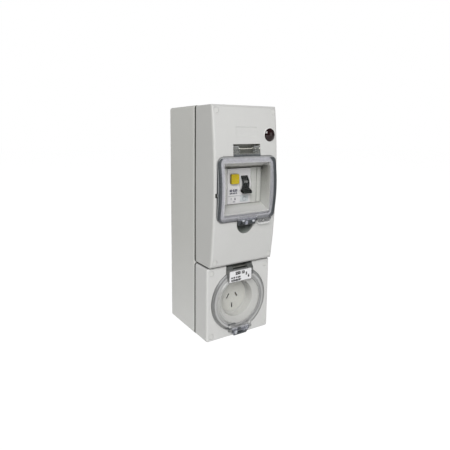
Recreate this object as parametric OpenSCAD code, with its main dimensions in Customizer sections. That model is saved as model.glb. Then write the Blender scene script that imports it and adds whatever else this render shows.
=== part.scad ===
/* [Enclosure] */
// Overall width of the wall unit
body_w = 101; // [98:1:112]
// Overall height of the wall unit
body_h = 302; // [296:1:320]
// Depth of the back box, wall plane to rim
box_d = 66; // [62:1:74]
// Wall thickness of the back box
box_wall = 3; // [2.6:0.1:3.6]
// Outer corner radius of the box and covers
corner_r = 3.5; // [3:0.1:5]
// Chamfer on the outer edge of the box rim
rim_chamfer = 1.5; // [0.8:0.1:2]
// Radius of the posts that take the cover screws
post_r = 5; // [4.6:0.1:5.6]
// Distance of each cover screw from the cover's edges
screw_inset = 7.5; // [7.2:0.1:8.5]

/* [Wall fixing and cable entry] */
// Distance between wall fixing holes across the box
fixing_w = 60; // [52:1:66]
// Distance between wall fixing holes up the box
fixing_h = 250; // [240:1:256]
// Radius of a wall fixing hole
fixing_r = 2.75; // [2:0.05:3.2]
// Radius of the conduit entry bores, top and bottom
entry_r = 12.5; // [10:0.5:13]

/* [Covers] */
// Height of the lower cover's share of the front
lower_cover_h = 100.3; // [99:0.1:104]
// Open gap between the two covers
cover_gap = 1; // [0.6:0.1:1.6]
// Thickness of the gasket seen as the dark seam behind each cover
seam_gap = 2.4; // [1.8:0.1:3]
// Step from the box's side in to the cover's side
cover_inset = 0.5; // [0.3:0.1:0.9]
// Wall thickness of the covers
cover_wall = 2.8; // [2.4:0.1:3.2]
// Taper of the covers' sides from seam to front
side_draft = 1.4; // [0.8:0.1:2]
// Edge rounding of the covers' fronts
cover_edge_r = 3; // [2:0.1:3.6]
// Distance of the upper cover's front from the wall at its ends
upper_edge_z = 102.5; // [101:0.5:106]
// Rise of the upper cover's bowed front at mid height
upper_crown = 7; // [6:0.25:8]
// Distance of the lower cover's flat front from the wall
lower_front_z = 97; // [96:0.25:98]

/* [Window over the modules] */
// Height of the window's centre above the box's centre
window_y = 50.5; // [48:0.5:53]
// Number of module widths behind the window
modules = 4; // [4:1:4]
// Height of the window at the module faces
window_h = 46; // [45.8:0.1:48]
// Height of the window well at the cover's front
well_mouth_h = 64; // [60:1:68]
// Width of the clear window flap
flap_w = 88; // [86:0.5:90]
// Height of the clear window flap
flap_h = 80; // [78:0.5:82]
// Corner radius of the window flap
flap_r = 9; // [7:0.5:10]
// Wall thickness of the clear flaps
flap_wall = 2.4; // [2:0.1:2.8]
// Rise of the window flap's own bow, edge to middle
flap_crown = 4.7; // [4:0.1:5.4]
// Furthest reach of the window flap from the wall
flap_front_z = 115.5; // [115:0.1:117]

/* [Residual current device] */
// Distance of the device's nose face from the wall
nose_z = 92; // [91:0.25:93]
// Width of one module
module_w = 18; // [17.5:0.1:18.2]
// Height of the device's nose
nose_h = 45; // [44:0.1:45.2]
// Height of the whole device on its rail
case_h = 85; // [83:0.5:88]
// Distance from the rail's front to the nose face
rail_to_nose = 58; // [56:0.5:60]
// Width of the toggle's drum
toggle_w = 11; // [10:0.25:12]
// Radius of the toggle's drum
toggle_r = 12.5; // [12:0.1:13]
// Swing of the toggle from off to on
toggle_swing = 66; // [60:1:70]
// Width of the test button
button_w = 11.5; // [10:0.25:12.5]
// Height of the test button
button_h = 12.5; // [11:0.25:13.5]
// How far the test button stands out of the nose
button_out = 3.4; // [3:0.1:4]

/* [Socket] */
// Radius of the round socket flap
disc_r = 42.5; // [42:0.25:43.5]
// Radius of the raised middle of the socket flap
disc_step_r = 35; // [34:0.25:36]
// Radius of the well that takes the plug
plug_well_r = 25; // [24:0.25:27]
// Distance of the socket face from the wall
socket_z = 80.5; // [79:0.5:84]
// Radius on which the live and neutral slots lie
pin_r = 7.92; // [7.5:0.02:8.2]
// Radius at which the earth slot lies
earth_r = 10.31; // [10:0.02:10.6]
// Length of a blade slot
slot_l = 7.2; // [6.8:0.1:7.6]
// Width of a blade slot
slot_w = 2.2; // [1.9:0.1:2.5]

/* [Lamp] */
// Lamp's distance from the right side of the box
lamp_inset = 14.5; // [13.5:0.5:16.5]
// Lamp's distance below the top of the box
lamp_drop = 36; // [34:0.5:40]
// Radius of the lamp's lens flange
lamp_r = 8.2; // [7.4:0.1:8.4]

/* [Clearances] */
// Gap left between parts that slide or swing past each other
run_gap = 0.3; // [0.2:0.05:0.4]
// Radial play of a hinge pin in its bore
pin_play = 0.06; // [0.03:0.01:0.1]
// Gap round parts that are fitted and stay put
fit_gap = 0.15; // [0.1:0.05:0.25]

/* [Hidden] */
$fn = 96;

// Small overshoot that lets a cut break through a face cleanly
cut = 1;

// Covers: x is across, y is up, z is out from the wall
top_y = body_h / 2;
upper_h = body_h - lower_cover_h - cover_gap;
upper_y = top_y - upper_h / 2;
lower_y = -top_y + lower_cover_h / 2;
split_y = -top_y + lower_cover_h + cover_gap / 2;
seam_z = box_d + seam_gap;
upper_mid_z = upper_edge_z + upper_crown;
bow_r = (pow(upper_h / 2, 2) + pow(upper_crown, 2)) / (2 * upper_crown);
cover_w = body_w - 2 * cover_inset;
cover_r = corner_r - cover_inset;
screw_x = body_w / 2 - screw_inset;
upper_screw_y = [upper_y - upper_h / 2 + screw_inset, upper_y + upper_h / 2 - screw_inset];
lower_screw_y = [lower_y - lower_cover_h / 2 + screw_inset, lower_y + lower_cover_h / 2 - screw_inset];
gasket_inset = 0.3;
hollow_r = 1;
gasket_w = box_wall - gasket_inset;
bridge_t = 12;
bridge_d = 12;

// Cover screws and the caps that hide them
screw_shank_r = 2;
screw_head_r = 3.2;
screw_head_t = 2.4;
cap_r = 3.5;
cap_t = 3;
cap_sink = 0.3;
post_grow = 0.7;
cover_post_r = post_r + post_grow;
counterbore_r = cap_r + fit_gap;
head_seat_z = box_d + 14;
screw_tip_z = box_d - 12;
pilot_tip_z = box_d - 15;

// Wall fixing bosses and cable entries
fixing_boss_r = fixing_r + 3.25;
fixing_boss_h = box_wall + 3;
entry_z = box_d / 2;
entry_wall = 3;
entry_len = 11;
plug_head_r = entry_r + 3;
plug_head_t = 2;
plug_len = 9;

// Rail and the device that clips on it
rail_h = 35;
rail_d = 7.5;
rail_t = 1;
rail_mouth = 25;
rail_len = modules * module_w + 4;
rail_front_z = nose_z - rail_to_nose;
rail_back_z = rail_front_z - rail_d;
rail_screw_x = rail_len / 2 - 8;
rail_screw_r = 2;
window_w = modules * module_w + 2 * fit_gap + 0.2;
case_w = 2 * module_w - 2 * fit_gap;
case_back_z = rail_front_z - 4;
case_split_z = rail_front_z + 24;
shoulder_z = rail_front_z + 44;
case_wall = 1.7;
nose_wall = 2;
terminal_x = module_w / 2;
terminal_y = case_h / 2 - 8.5;
terminal_z = case_split_z - 6;
cavity_h = 2 * (terminal_y - 10);
wire_hole_r = 3;
cage_w = 8;
cage_h = 10;
cage_d = 10;

// Toggle, test button and what they work on
toggle_x = terminal_x - 0.5;
toggle_y = window_y + 2.3;
toggle_z = nose_z - 9;
toggle_rest = -toggle_swing / 2;
lever_reach = 20;
lever_t = 4.6;
axle_r = 1.8;
button_x = -terminal_x + 1;
button_y = window_y + 9.5;
stem_r = 2;
shelf_z = nose_z - 16.5;
shelf_t = 1.5;
bridge_y = window_y - 4;
bridge_z = case_split_z + 8;
bridge_shaft_r = 2.2;
finger_l = 12;

// Window well, flap and its hinge
well_bottom_z = nose_z - 3;
well_wall = 2.2;
flap_y = window_y - 1.5;
flap_bow_r = (pow(flap_h / 2, 2) + pow(flap_crown, 2)) / (2 * flap_crown);
seat_gap = 0.7;
seat_depth = 1.2;
seat_r = bow_r - seat_depth;
flap_top = flap_y + flap_h / 2;
flap_bottom = flap_y - flap_h / 2;
hinge_r = 3.2;
hinge_y = flap_top + 9.5;
hinge_z = bow_z(hinge_y) - hinge_r - 0.2;
pocket_w = 41.4;
pocket_top = hinge_y + hinge_r + 2.3;
pocket_floor_z = hinge_z - hinge_r - 1.6;
pocket_wall = 2.2;
pin_radius = 1.1;
pin_bore_r = pin_radius + pin_play;
pin_seat = 1.5;
arm_in = 11.5;
arm_out = pocket_w / 2 - 0.6;
scoop_y = flap_bottom - 3;
scoop_rim_r = 13.4;
scoop_depth = 11;
scoop_drop = 1.4;

// Window latch
latch_half = 12.6;
latch_y = flap_bottom + 3;
latch_z = flap_z(latch_y) - 0.7;
latch_r = 2.4;
latch_pin_r = 0.9;
latch_tip_y = scoop_y - 2.6;

// Socket well, flap and its hinge
socket_y = lower_y;
pattern_y = socket_y - 4;
disc_seat_r = disc_r + 1;
disc_seat_depth = 2.4;
disc_seat_z = lower_front_z - disc_seat_depth;
disc_flange_z = lower_front_z + 1.8;
disc_front_z = lower_front_z + 3.3;
plug_lip_z = disc_seat_z - 2.4;
plug_mouth_r = disc_step_r - 0.8;
insert_r = plug_well_r - 2.8;
insert_flange_r = plug_well_r + 2;
floor_t = 2.5;
insert_back_z = socket_z - 24;
blade_turn = 30;
disc_hinge_y = socket_y + disc_r + 2.9;
disc_hinge_z = lower_front_z - 1.7;
disc_hinge_r = 2.9;
notch_floor_z = disc_hinge_z - disc_hinge_r - 1.4;
notch_bottom = disc_hinge_y - disc_hinge_r - 1.3;
label_w = 35.2;
label_h = 14.4;
label_t = 0.5;
label_top = disc_hinge_y - disc_hinge_r - 0.9;

// Socket latch
ear_in = 14.4;
ear_t = 3.4;
disc_latch_y = socket_y - disc_r + 3.6;
disc_latch_z = disc_flange_z + 1.7;
disc_latch_r = 2.3;
disc_latch_reach = 5.45;
disc_latch_tip_y = socket_y - disc_r - disc_latch_reach;
disc_latch_tip_half = 9;
disc_catch_y = socket_y - disc_seat_r - 0.1;
catch_t = 1.2;
catch_h = 1.4;
disc_hook_y = disc_catch_y - catch_t - run_gap;

// Lamp
lamp_x = body_w / 2 - lamp_inset;
lamp_y = top_y - lamp_drop;
lamp_spot_z = bow_z(lamp_y + lamp_r) - 0.3;
lamp_hole_r = 5.8;
lamp_back_z = lamp_spot_z - 26;

// Small features of the covers and the box
edge_chamfer = 1.6;
lip_h = 0.4;
lip_out = 2;
catch_half = 7;
tag_w = 32;
tag_h = 11;
tag_r = 1.5;
tag_depth = 0.25;
tag_rise = 4;
lower_edge_r = 2.4;
plug_slot_w = 2;
stiffener_count = 4;
stiffener_t = 2;
earth_side = 17.5;
earth_x = box_wall + earth_side - body_w / 2;
earth_y = -30;
earth_z = 24;
earth_screw_r = 1.6;
insert_screw_x = plug_well_r + 6;
insert_boss_r = 3.6;
insert_screw_r = 1.5;
recess_l = 0.55;
recess_w = 0.1;
plug_floor = 1;
scoop_roof = 0.5;
bar_lift = 0.4;
bar_root = 1.5;
bar_sink = 2.2;
lamp_boss_w = 2;
insert_bite = 4;

// Small features of the device
hook_bite = 1.6;
rail_screw_l = 8;
rail_head_t = 1.6;
cheek_gap = 0.6;
cheek_t = 1.6;
guard_t = 1.8;
axle_bore = 3;
axle_out = 2.6;
flag_rise = 1.6;
flag_r = 0.6;
flag_sink = 0.3;
rivet_head_t = 1;
terminal_seat = 1.8;
terminal_head_t = 2.4;
core_drop = 7;
core_step = 1;
relay_low = 6;
relay_high = 5;
relay_d = 12;
plunger_l = 4;
plunger_r = 1.5;
pad_lap = 2;
pad_in = 0.5;
pad_open = 2;
pad_r = 1.6;
finger_over = 1;
finger_t = 1.8;
drum_web = 4;
lever_taper = 0.4;
lever_round = 1.8;
lever_flare = 3;
button_skirt = 2;
button_flange = 1;
stem_lift = 0.4;
spring_lift = 0.05;
clip_slot = 1.6;
strip_d = 4;
strip_sink = 0.6;
strip_rib = 0.2;
strip_lip = 1.4;
clip_w = 12;
clip_t = 2.4;
clip_tail = 4;
rivet_in_y = cavity_h / 2 + 3.5;
rivet_out_y = case_h / 2 - 4.5;
rivet_r = 1.5;
rivet_head_r = 2.5;
rivet_seat = 1;
terminal_screw_r = 2.5;
terminal_shank_r = 1.6;
wire_r = 1.7;
strip_w = 5;
strip_t = 1.4;
core_out_r = 12;
core_in_r = 7;
core_h = 10;
relay_w = 14;
slot_half = sqrt(pow(toggle_r, 2) - pow(nose_z - nose_wall - toggle_z, 2)) + 0.45;
lever_w = 13;
button_corner_r = 1.6;
dish_r = 40;
dish_t = 0.4;
flag_w = 13;
flag_h = 9;
spring_turns = 4;
spring_steps = 8;
spring_sides = 6;
spring_wire = 0.4;
spring_r = stem_r + 1.4;
spring_pitch = (nose_z - nose_wall - button_skirt - shelf_z - 2 * spring_wire - run_gap) / spring_turns;

// Small features of the lamp and the window flap
lens_flange_t = 1.4;
arm_rise = 0.2;
arm_drop = 0.8;
arm_knee = 3;
arm_hump = 1.2;
arm_blend = 0.1;
web_z = 2.2;
bowed_d = 30;
cup = 0.8;
lug_hole_drop = 2.4;
pin_end = 0.2;
latch_under = 1.6;
latch_nose = 1;
grip_x = 8;
grip_w = 4;
grip_up = 3;
grip_r = 1.4;
lens_rise = 4;
lens_wall = 0.3;
lens_rim = 0.2;
lens_cap = lens_rise - lens_wall;
lens_sphere_r = (pow(lamp_r - lens_rim, 2) + pow(lens_cap, 2)) / (2 * lens_cap);
tab_x = 2.6;
tab_w = 2.8;
tab_t = 0.8;
tab_l = 7;
lamp_tail_z = lamp_back_z - tab_l - 0.25;
nut_r = 9;
nut_t = 4.5;
flap_edge_r = 2.2;
flap_chamfer = 0.9;
frame_w = 5;
panel_rise = 0.6;
web_l = 3.4;
rib_step = 6;
rib_t = 1.8;
nub_y = flap_y - 5;
nub_h = 3.4;
nub_t = 1;
boss_l = 3;
lug_x = 27;
lug_w = 22;
lug_l = 16;
lug_r = 5;
lug_t = 3.6;
lug_hole_r = 2.4;
seal_out = 1;
seal_in = 0.8;
seal_t = 0.9;
seal_r = seat_r + lip_h + run_gap;

// Small features of the socket and its flap
flange_t = 3;
clamp_slot = 0.6;
insert_head_t = 1.8;
disc_step_in = 1;
disc_slope = 1.4;
disc_soft = 1.2;
tab_under = 1.4;
tab_gap = 0.4;
knuckle_back = 2;
label_r = 0.9;
label_sink = 0.05;
eye_w = 10;
eye_r = 1.2;
face_t = 3;
chamber_w = 5;
chamber_l = 9;
blade_t = 1.6;
contact_root = 6;
contact_tail = 8;
contact_z = insert_back_z - contact_tail / 2;
clamp_r = 1.5;
clamp_out = 2;
ear_l = 9;
eye_h = 3;

// Earth bar and wires
earth_l = 24;
earth_w = 10;
earth_screw_l = 8;
earth_head_r = 2.8;
earth_head_t = 1.8;
earth_t = 6.5;
wire_sides = 8;
lamp_wire_r = 0.9;
// Routes of the wires, as (across, up, out) points
slot_dir = [-sin(blade_turn), cos(blade_turn), 0];
blade_at = [pin_r * cos(blade_turn), pattern_y + pin_r * sin(blade_turn), contact_z];
earth_at = [0, pattern_y - earth_r, contact_z];
active_route = [
    [terminal_x, window_y - terminal_y - 1.5, terminal_z],
    [terminal_x, window_y - case_h / 2 - 4, terminal_z],
    [9, -4, 50], [11, -20, 44], [13, -38, 40], [13, -56, 39], [10, -70, 41], [6, -79, 45],
    blade_at + 16.5 * slot_dir + [4.8, 0, -5.6], blade_at + 10.5 * slot_dir + [0.9, 0, -1],
    blade_at + 6 * slot_dir, blade_at + 2.5 * slot_dir];
neutral_route = [for (p = active_route) [-p[0], p[1], p[2]]];
earth_route = [
    [earth_x - 1, earth_y - earth_l / 3, earth_z + earth_t / 2],
    [earth_x + 6, earth_y - earth_l / 3, earth_z + earth_t / 2],
    [-17, -40, 27], [-8, -48, 26], [0, -60, 26], [0, -78, 28], [0, -92, 34],
    earth_at + [0, 15.6, -12], earth_at + [0, 11, -4], earth_at + [0, 7.6, 0], earth_at + [0, 2.6, 0]];
lamp_route_left = [
    [terminal_x, window_y + terminal_y + 1.5, terminal_z], [terminal_x, 95, terminal_z],
    [10, 100, 52], [16, 105, 54], [24, 109, 59], [30, 113, 64],
    [lamp_x - tab_x - 0.4, lamp_y, lamp_tail_z - 4.4], [lamp_x - tab_x, lamp_y, lamp_tail_z]];
lamp_route_right = [
    [-terminal_x, window_y + terminal_y + 1.5, terminal_z], [-terminal_x, 95, terminal_z],
    [-8, 102, 50], [0, 110, 48], [14, 116, 50], [28, 119, 56], [37, 118, 63],
    [lamp_x + tab_x, lamp_y, lamp_tail_z - 4.4], [lamp_x + tab_x, lamp_y, lamp_tail_z]];

// Turns the face frame upright: out from the wall becomes -Y and up becomes +Z
module upright() {
    rotate([90, 0, 0]) children();
}

// Rounded rectangle about the origin
module rounded(w, h, r) {
    square([w - 2 * r, h], center = true);
    square([w, h - 2 * r], center = true);
    for (sx = [-1, 1], sy = [-1, 1])
        translate([sx * (w / 2 - r), sy * (h / 2 - r)]) circle(r);
}

// Rounded block between two distances from the wall
module slab(w, h, r, y, z0, z1) {
    translate([0, y, z0]) linear_extrude(z1 - z0) rounded(w, h, r);
}

// Plain block given by its limits
module block(x0, x1, y0, y1, z0, z1) {
    translate([x0, y0, z0]) cube([x1 - x0, y1 - y0, z1 - z0]);
}

// Round rod along z
module rod(x, y, z0, z1, r) {
    translate([x, y, z0]) cylinder(h = z1 - z0, r = r);
}

// Round rod along x
module cross_rod(x0, x1, y, z, r) {
    translate([x0, y, z]) rotate([0, 90, 0]) cylinder(h = x1 - x0, r = r);
}

// Extrudes a profile drawn as (y, z) along x
module across(x0, x1) {
    translate([x0, 0, 0]) rotate([90, 0, 90]) linear_extrude(x1 - x0) children();
}

// Runs a profile, drawn as (outward, z), round the edge of a rounded rectangle
module round_edge(w, h, r, y, z) {
    translate([0, y, z]) {
        for (s = [-1, 1]) {
            translate([s * w / 2, 0, 0]) rotate([90, 0, 0])
                linear_extrude(h - 2 * r, center = true) scale([s, 1]) children();
            translate([0, s * h / 2, 0]) rotate([90, 0, 90])
                linear_extrude(w - 2 * r, center = true) scale([s, 1]) children();
        }
        for (i = [0:3])
            rotate([0, 0, 90 * i])
                translate([(i % 2 == 0 ? w : h) / 2 - r, (i % 2 == 0 ? h : w) / 2 - r, 0])
                    rotate_extrude(angle = 90) translate([r, 0]) children();
    }
}

// Bowed slab: front of radius r about an x axis, tapered sides and rounded side edges
module bowed(r, mid_y, mid_z, front_w, draft, depth, edge) {
    sweep = 40;
    half = front_w / 2;
    translate([0, mid_y, mid_z - r])
        rotate([0, -90, 0]) rotate([0, 0, -sweep / 2]) rotate_extrude(angle = sweep, $fn = 720)
            union() {
                polygon([[r - depth, -half - draft], [r - edge, -half], [r - edge, half],
                    [r - depth, half + draft]]);
                translate([r - 2 * edge, -half + edge]) square([2 * edge, 2 * half - 2 * edge]);
                for (s = [-1, 1])
                    translate([r - edge, s * (half - edge)]) circle(edge, $fn = 48);
            }
}

// Depth of the upper cover's front at a given height
function bow_z(y, r = bow_r) = upper_mid_z - bow_r + sqrt(r * r - pow(y - upper_y, 2));

// Depth of the window flap's front at a given height
function flap_z(y) = flap_front_z - flap_bow_r + sqrt(pow(flap_bow_r, 2) - pow(y - flap_y, 2));

// Solid behind a bowed surface that follows the upper cover's front
module behind_bow(r) {
    cross_rod(-body_w, body_w, upper_y, upper_mid_z - bow_r, r, $fn = 1440);
}

// Places one child at each cover screw of both covers
module at_cover_screws() {
    for (sx = [-1, 1], y = concat(upper_screw_y, lower_screw_y))
        translate([sx * screw_x, y, 0]) children();
}

// Moulded back box with screw posts, fixing bosses, cable entries and rail pillars
module back_box() color("gainsboro") upright() difference() {
    union() {
        difference() {
            slab(body_w, body_h, corner_r, 0, 0, box_d);
            slab(body_w - 2 * box_wall, body_h - 2 * box_wall, hollow_r, 0, box_wall, box_d + cut);
            round_edge(body_w, body_h, corner_r, 0, box_d)
                polygon([[-rim_chamfer, 0], [-rim_chamfer, cut], [cut, cut], [cut, -rim_chamfer],
                    [0, -rim_chamfer]]);
        }
        intersection() {
            union() {
                at_cover_screws() cylinder(h = box_d, r = post_r);
                for (sy = [-1, 1])
                    translate([0, sy * top_y, entry_z])
                        rotate([sy * 90, 0, 0]) cylinder(h = entry_len, r = entry_r + entry_wall);
            }
            slab(body_w - box_wall, body_h - box_wall, corner_r - box_wall / 2, 0, box_wall / 2, box_d);
        }
        block(-body_w / 2 + box_wall / 2, body_w / 2 - box_wall / 2, split_y - bridge_t / 2,
            split_y + bridge_t / 2, box_d - bridge_d, box_d);
        for (sx = [-1, 1], sy = [-1, 1])
            rod(sx * fixing_w / 2, sy * fixing_h / 2, box_wall / 2, fixing_boss_h, fixing_boss_r);
        for (sx = [-1, 1])
            rod(sx * rail_screw_x, window_y, box_wall / 2, rail_back_z, post_r);
        rod(earth_x, earth_y, box_wall / 2, earth_z, post_r);
        for (sx = [-1, 1], i = [1:stiffener_count])
            block(sx * (body_w / 2 - box_wall) - stiffener_t,
                sx * (body_w / 2 - box_wall) + stiffener_t,
                top_y - i * body_h / (stiffener_count + 1) - stiffener_t / 2,
                top_y - i * body_h / (stiffener_count + 1) + stiffener_t / 2, box_wall / 2,
                box_d / 2);
    }
    at_cover_screws() translate([0, 0, pilot_tip_z]) cylinder(h = box_d, r = screw_shank_r);
    for (sx = [-1, 1], sy = [-1, 1])
        rod(sx * fixing_w / 2, sy * fixing_h / 2, -cut, fixing_boss_h + cut, fixing_r);
    for (sx = [-1, 1])
        rod(sx * rail_screw_x, window_y, box_wall, rail_back_z + cut, rail_screw_r);
    rod(earth_x, earth_y, box_wall, earth_z + cut, earth_screw_r);
    for (sy = [-1, 1])
        translate([0, sy * (top_y + cut), entry_z]) rotate([sy * 90, 0, 0]) {
            cylinder(h = entry_len + 2 * cut, r = entry_r);
            cylinder(h = plug_head_t + cut + fit_gap, r = plug_head_r + fit_gap);
        }
}

// Gasket strip squeezed between the box rim and one cover
module gasket(w, h, y) {
    translate([0, y, box_d]) linear_extrude(seam_gap)
        difference() {
            rounded(w - 2 * gasket_inset, h - 2 * gasket_inset, corner_r - gasket_inset);
            rounded(w - 2 * gasket_inset - 2 * gasket_w, h - 2 * gasket_inset - 2 * gasket_w,
                hollow_r);
        }
}

module upper_gasket() color("dimgray") upright() gasket(body_w, upper_h, upper_y);

module lower_gasket() color("dimgray") upright() gasket(body_w, lower_cover_h, lower_y);

// Plug that seals the unused top cable entry, flush with the box
module conduit_plug() color("gainsboro") upright()
    translate([0, top_y, entry_z]) rotate([90, 0, 0]) difference() {
        union() {
            cylinder(h = plug_head_t, r = plug_head_r);
            cylinder(h = plug_len, r = entry_r - pin_play);
        }
        translate([-entry_r, -plug_slot_w / 2, -cut])
            cube([2 * entry_r, plug_slot_w, cut + plug_head_t / 2]);
        translate([0, 0, plug_head_t + plug_floor]) cylinder(h = plug_len, r = entry_r - entry_wall);
    }

// Pan head screw along z, head outwards, tip nearest the wall
module pan_screw(tip_z, seat_z, shank_r, head_r, head_t) {
    difference() {
        union() {
            translate([0, 0, tip_z]) cylinder(h = seat_z - tip_z + head_t / 2, r = shank_r);
            translate([0, 0, seat_z]) cylinder(h = head_t, r = head_r);
        }
        for (a = [0, 90])
            rotate([0, 0, a])
                translate([-head_r * recess_l, -head_r * recess_w, seat_z + head_t / 2])
                    cube([2 * head_r * recess_l, 2 * head_r * recess_w, head_t]);
    }
}

module cover_screws() color("silver") upright()
    at_cover_screws()
        pan_screw(screw_tip_z, head_seat_z, screw_shank_r - pin_play, screw_head_r, screw_head_t);

// Press-in caps that close the screw holes in the covers' fronts
module screw_caps() color("whitesmoke") upright() {
    for (sx = [-1, 1]) {
        for (y = upper_screw_y)
            rod(sx * screw_x, y, bow_z(y) - cap_t, bow_z(y) - cap_sink, cap_r);
        for (y = lower_screw_y)
            rod(sx * screw_x, y, lower_front_z - cap_t, lower_front_z - cap_sink, cap_r);
    }
}

// Outer form of the upper cover: rounded outline, bowed front, softened top and bottom edges
module upper_form() {
    h = upper_h - 2 * cover_inset;
    difference() {
        intersection() {
            slab(cover_w, h, cover_r, upper_y, seam_z, upper_mid_z + cut);
            bowed(bow_r, upper_y, upper_mid_z, cover_w - 2 * side_draft, side_draft * 2,
                2 * (upper_mid_z - seam_z), cover_edge_r);
        }
        for (s = [-1, 1])
            translate([0, upper_y + s * h / 2, upper_edge_z]) rotate([s * 45, 0, 0])
                cube([2 * cover_w, 2 * edge_chamfer, 8 * edge_chamfer], center = true);
    }
}

// Hollow behind the upper cover's front
module upper_hollow() {
    intersection() {
        slab(cover_w - 2 * cover_wall - 2 * side_draft, upper_h - 2 * cover_inset - 2 * cover_wall,
            hollow_r, upper_y, seam_z - cut, upper_mid_z);
        behind_bow(bow_r - cover_wall);
    }
}

// Window well drawn from the side, grown outwards by a wall
module well_profile(wall) {
    polygon([[window_y - window_h / 2 - wall, well_bottom_z],
        [window_y - well_mouth_h / 2 - wall, upper_mid_z + cut],
        [window_y + well_mouth_h / 2 + wall, upper_mid_z + cut],
        [window_y + window_h / 2 + wall, well_bottom_z]]);
}

// Finger scoop below the window flap, grown by a wall
module scoop(wall) {
    r = (pow(scoop_rim_r, 2) + pow(scoop_depth, 2)) / (2 * scoop_depth);
    intersection() {
        translate([0, scoop_y - scoop_drop, bow_z(scoop_y) - scoop_depth + r]) sphere(r + wall);
        block(-body_w / 2, body_w / 2, scoop_y - 2 * scoop_rim_r, flap_bottom + scoop_roof + wall,
            box_d, upper_mid_z + cut);
    }
}

// Bar across the scoop that the window latch hooks behind
module window_catch() {
    block(-catch_half, catch_half, scoop_y + bar_lift, flap_bottom + bar_root,
        bow_z(scoop_y) - 2 * bar_sink, bow_z(scoop_y) - bar_sink);
}

// Band that follows the bowed front, between two depths below it
module bow_band(outer_r, inner_r, w, h, r, y) {
    intersection() {
        slab(w, h, r, y, seam_z, upper_mid_z + 2 * cut);
        difference() {
            behind_bow(outer_r);
            behind_bow(inner_r);
        }
    }
}

// Upper cover: bowed shell with window well, flap seat, hinge pocket, scoop and lamp hole
module upper_cover() color("gainsboro") upright() difference() {
    union() {
        difference() {
            upper_form();
            upper_hollow();
        }
        intersection() {
            upper_form();
            union() {
                across(-window_w / 2 - well_wall, window_w / 2 + well_wall)
                    well_profile(well_wall);
                block(-pocket_w / 2 - pocket_wall, pocket_w / 2 + pocket_wall,
                    flap_top - pocket_wall, pocket_top + pocket_wall, pocket_floor_z - pocket_wall,
                    upper_mid_z);
                scoop(well_wall);
                for (sx = [-1, 1], y = upper_screw_y)
                    rod(sx * screw_x, y, seam_z, upper_mid_z, cover_post_r);
                rod(lamp_x, lamp_y, lamp_spot_z - cover_wall, upper_mid_z, lamp_r + lamp_boss_w);
            }
        }
        bow_band(seat_r + lip_h, bow_r - cover_wall / 2, window_w + 2 * lip_out,
            well_mouth_h + 2 * lip_out, lip_out, window_y);
        window_catch();
    }
    across(-window_w / 2, window_w / 2)
        well_profile(0);
    block(-window_w / 2, window_w / 2, window_y - window_h / 2, window_y + window_h / 2, seam_z,
        well_bottom_z + cut);
    bow_band(bow_r + 2 * cut, seat_r + lip_h, flap_w + 2 * seat_gap, flap_h + 2 * seat_gap,
        flap_r + seat_gap, flap_y);
    difference() {
        bow_band(bow_r, seat_r, flap_w + 2 * seat_gap, flap_h + 2 * seat_gap, flap_r + seat_gap, flap_y);
        slab(window_w + 2 * lip_out, well_mouth_h + 2 * lip_out, lip_out, window_y, seam_z,
            upper_mid_z + 3 * cut);
    }
    block(-pocket_w / 2, pocket_w / 2, flap_top - flap_wall / 2 - run_gap, pocket_top,
        pocket_floor_z, upper_mid_z + cut);
    cross_rod(-pocket_w / 2 - pin_seat, pocket_w / 2 + pin_seat, hinge_y, hinge_z, pin_bore_r);
    difference() {
        scoop(0);
        window_catch();
    }
    bow_band(bow_r + cut, bow_r - tag_depth, tag_w, tag_h, tag_r, lamp_y + tag_rise);
    for (sx = [-1, 1], y = upper_screw_y) {
        rod(sx * screw_x, y, seam_z - cut, upper_mid_z, screw_shank_r + run_gap);
        rod(sx * screw_x, y, head_seat_z, upper_mid_z + cut, counterbore_r);
    }
    rod(lamp_x, lamp_y, lamp_spot_z, upper_mid_z + cut, lamp_r + fit_gap);
    rod(lamp_x, lamp_y, seam_z, upper_mid_z, lamp_hole_r);
}

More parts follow.
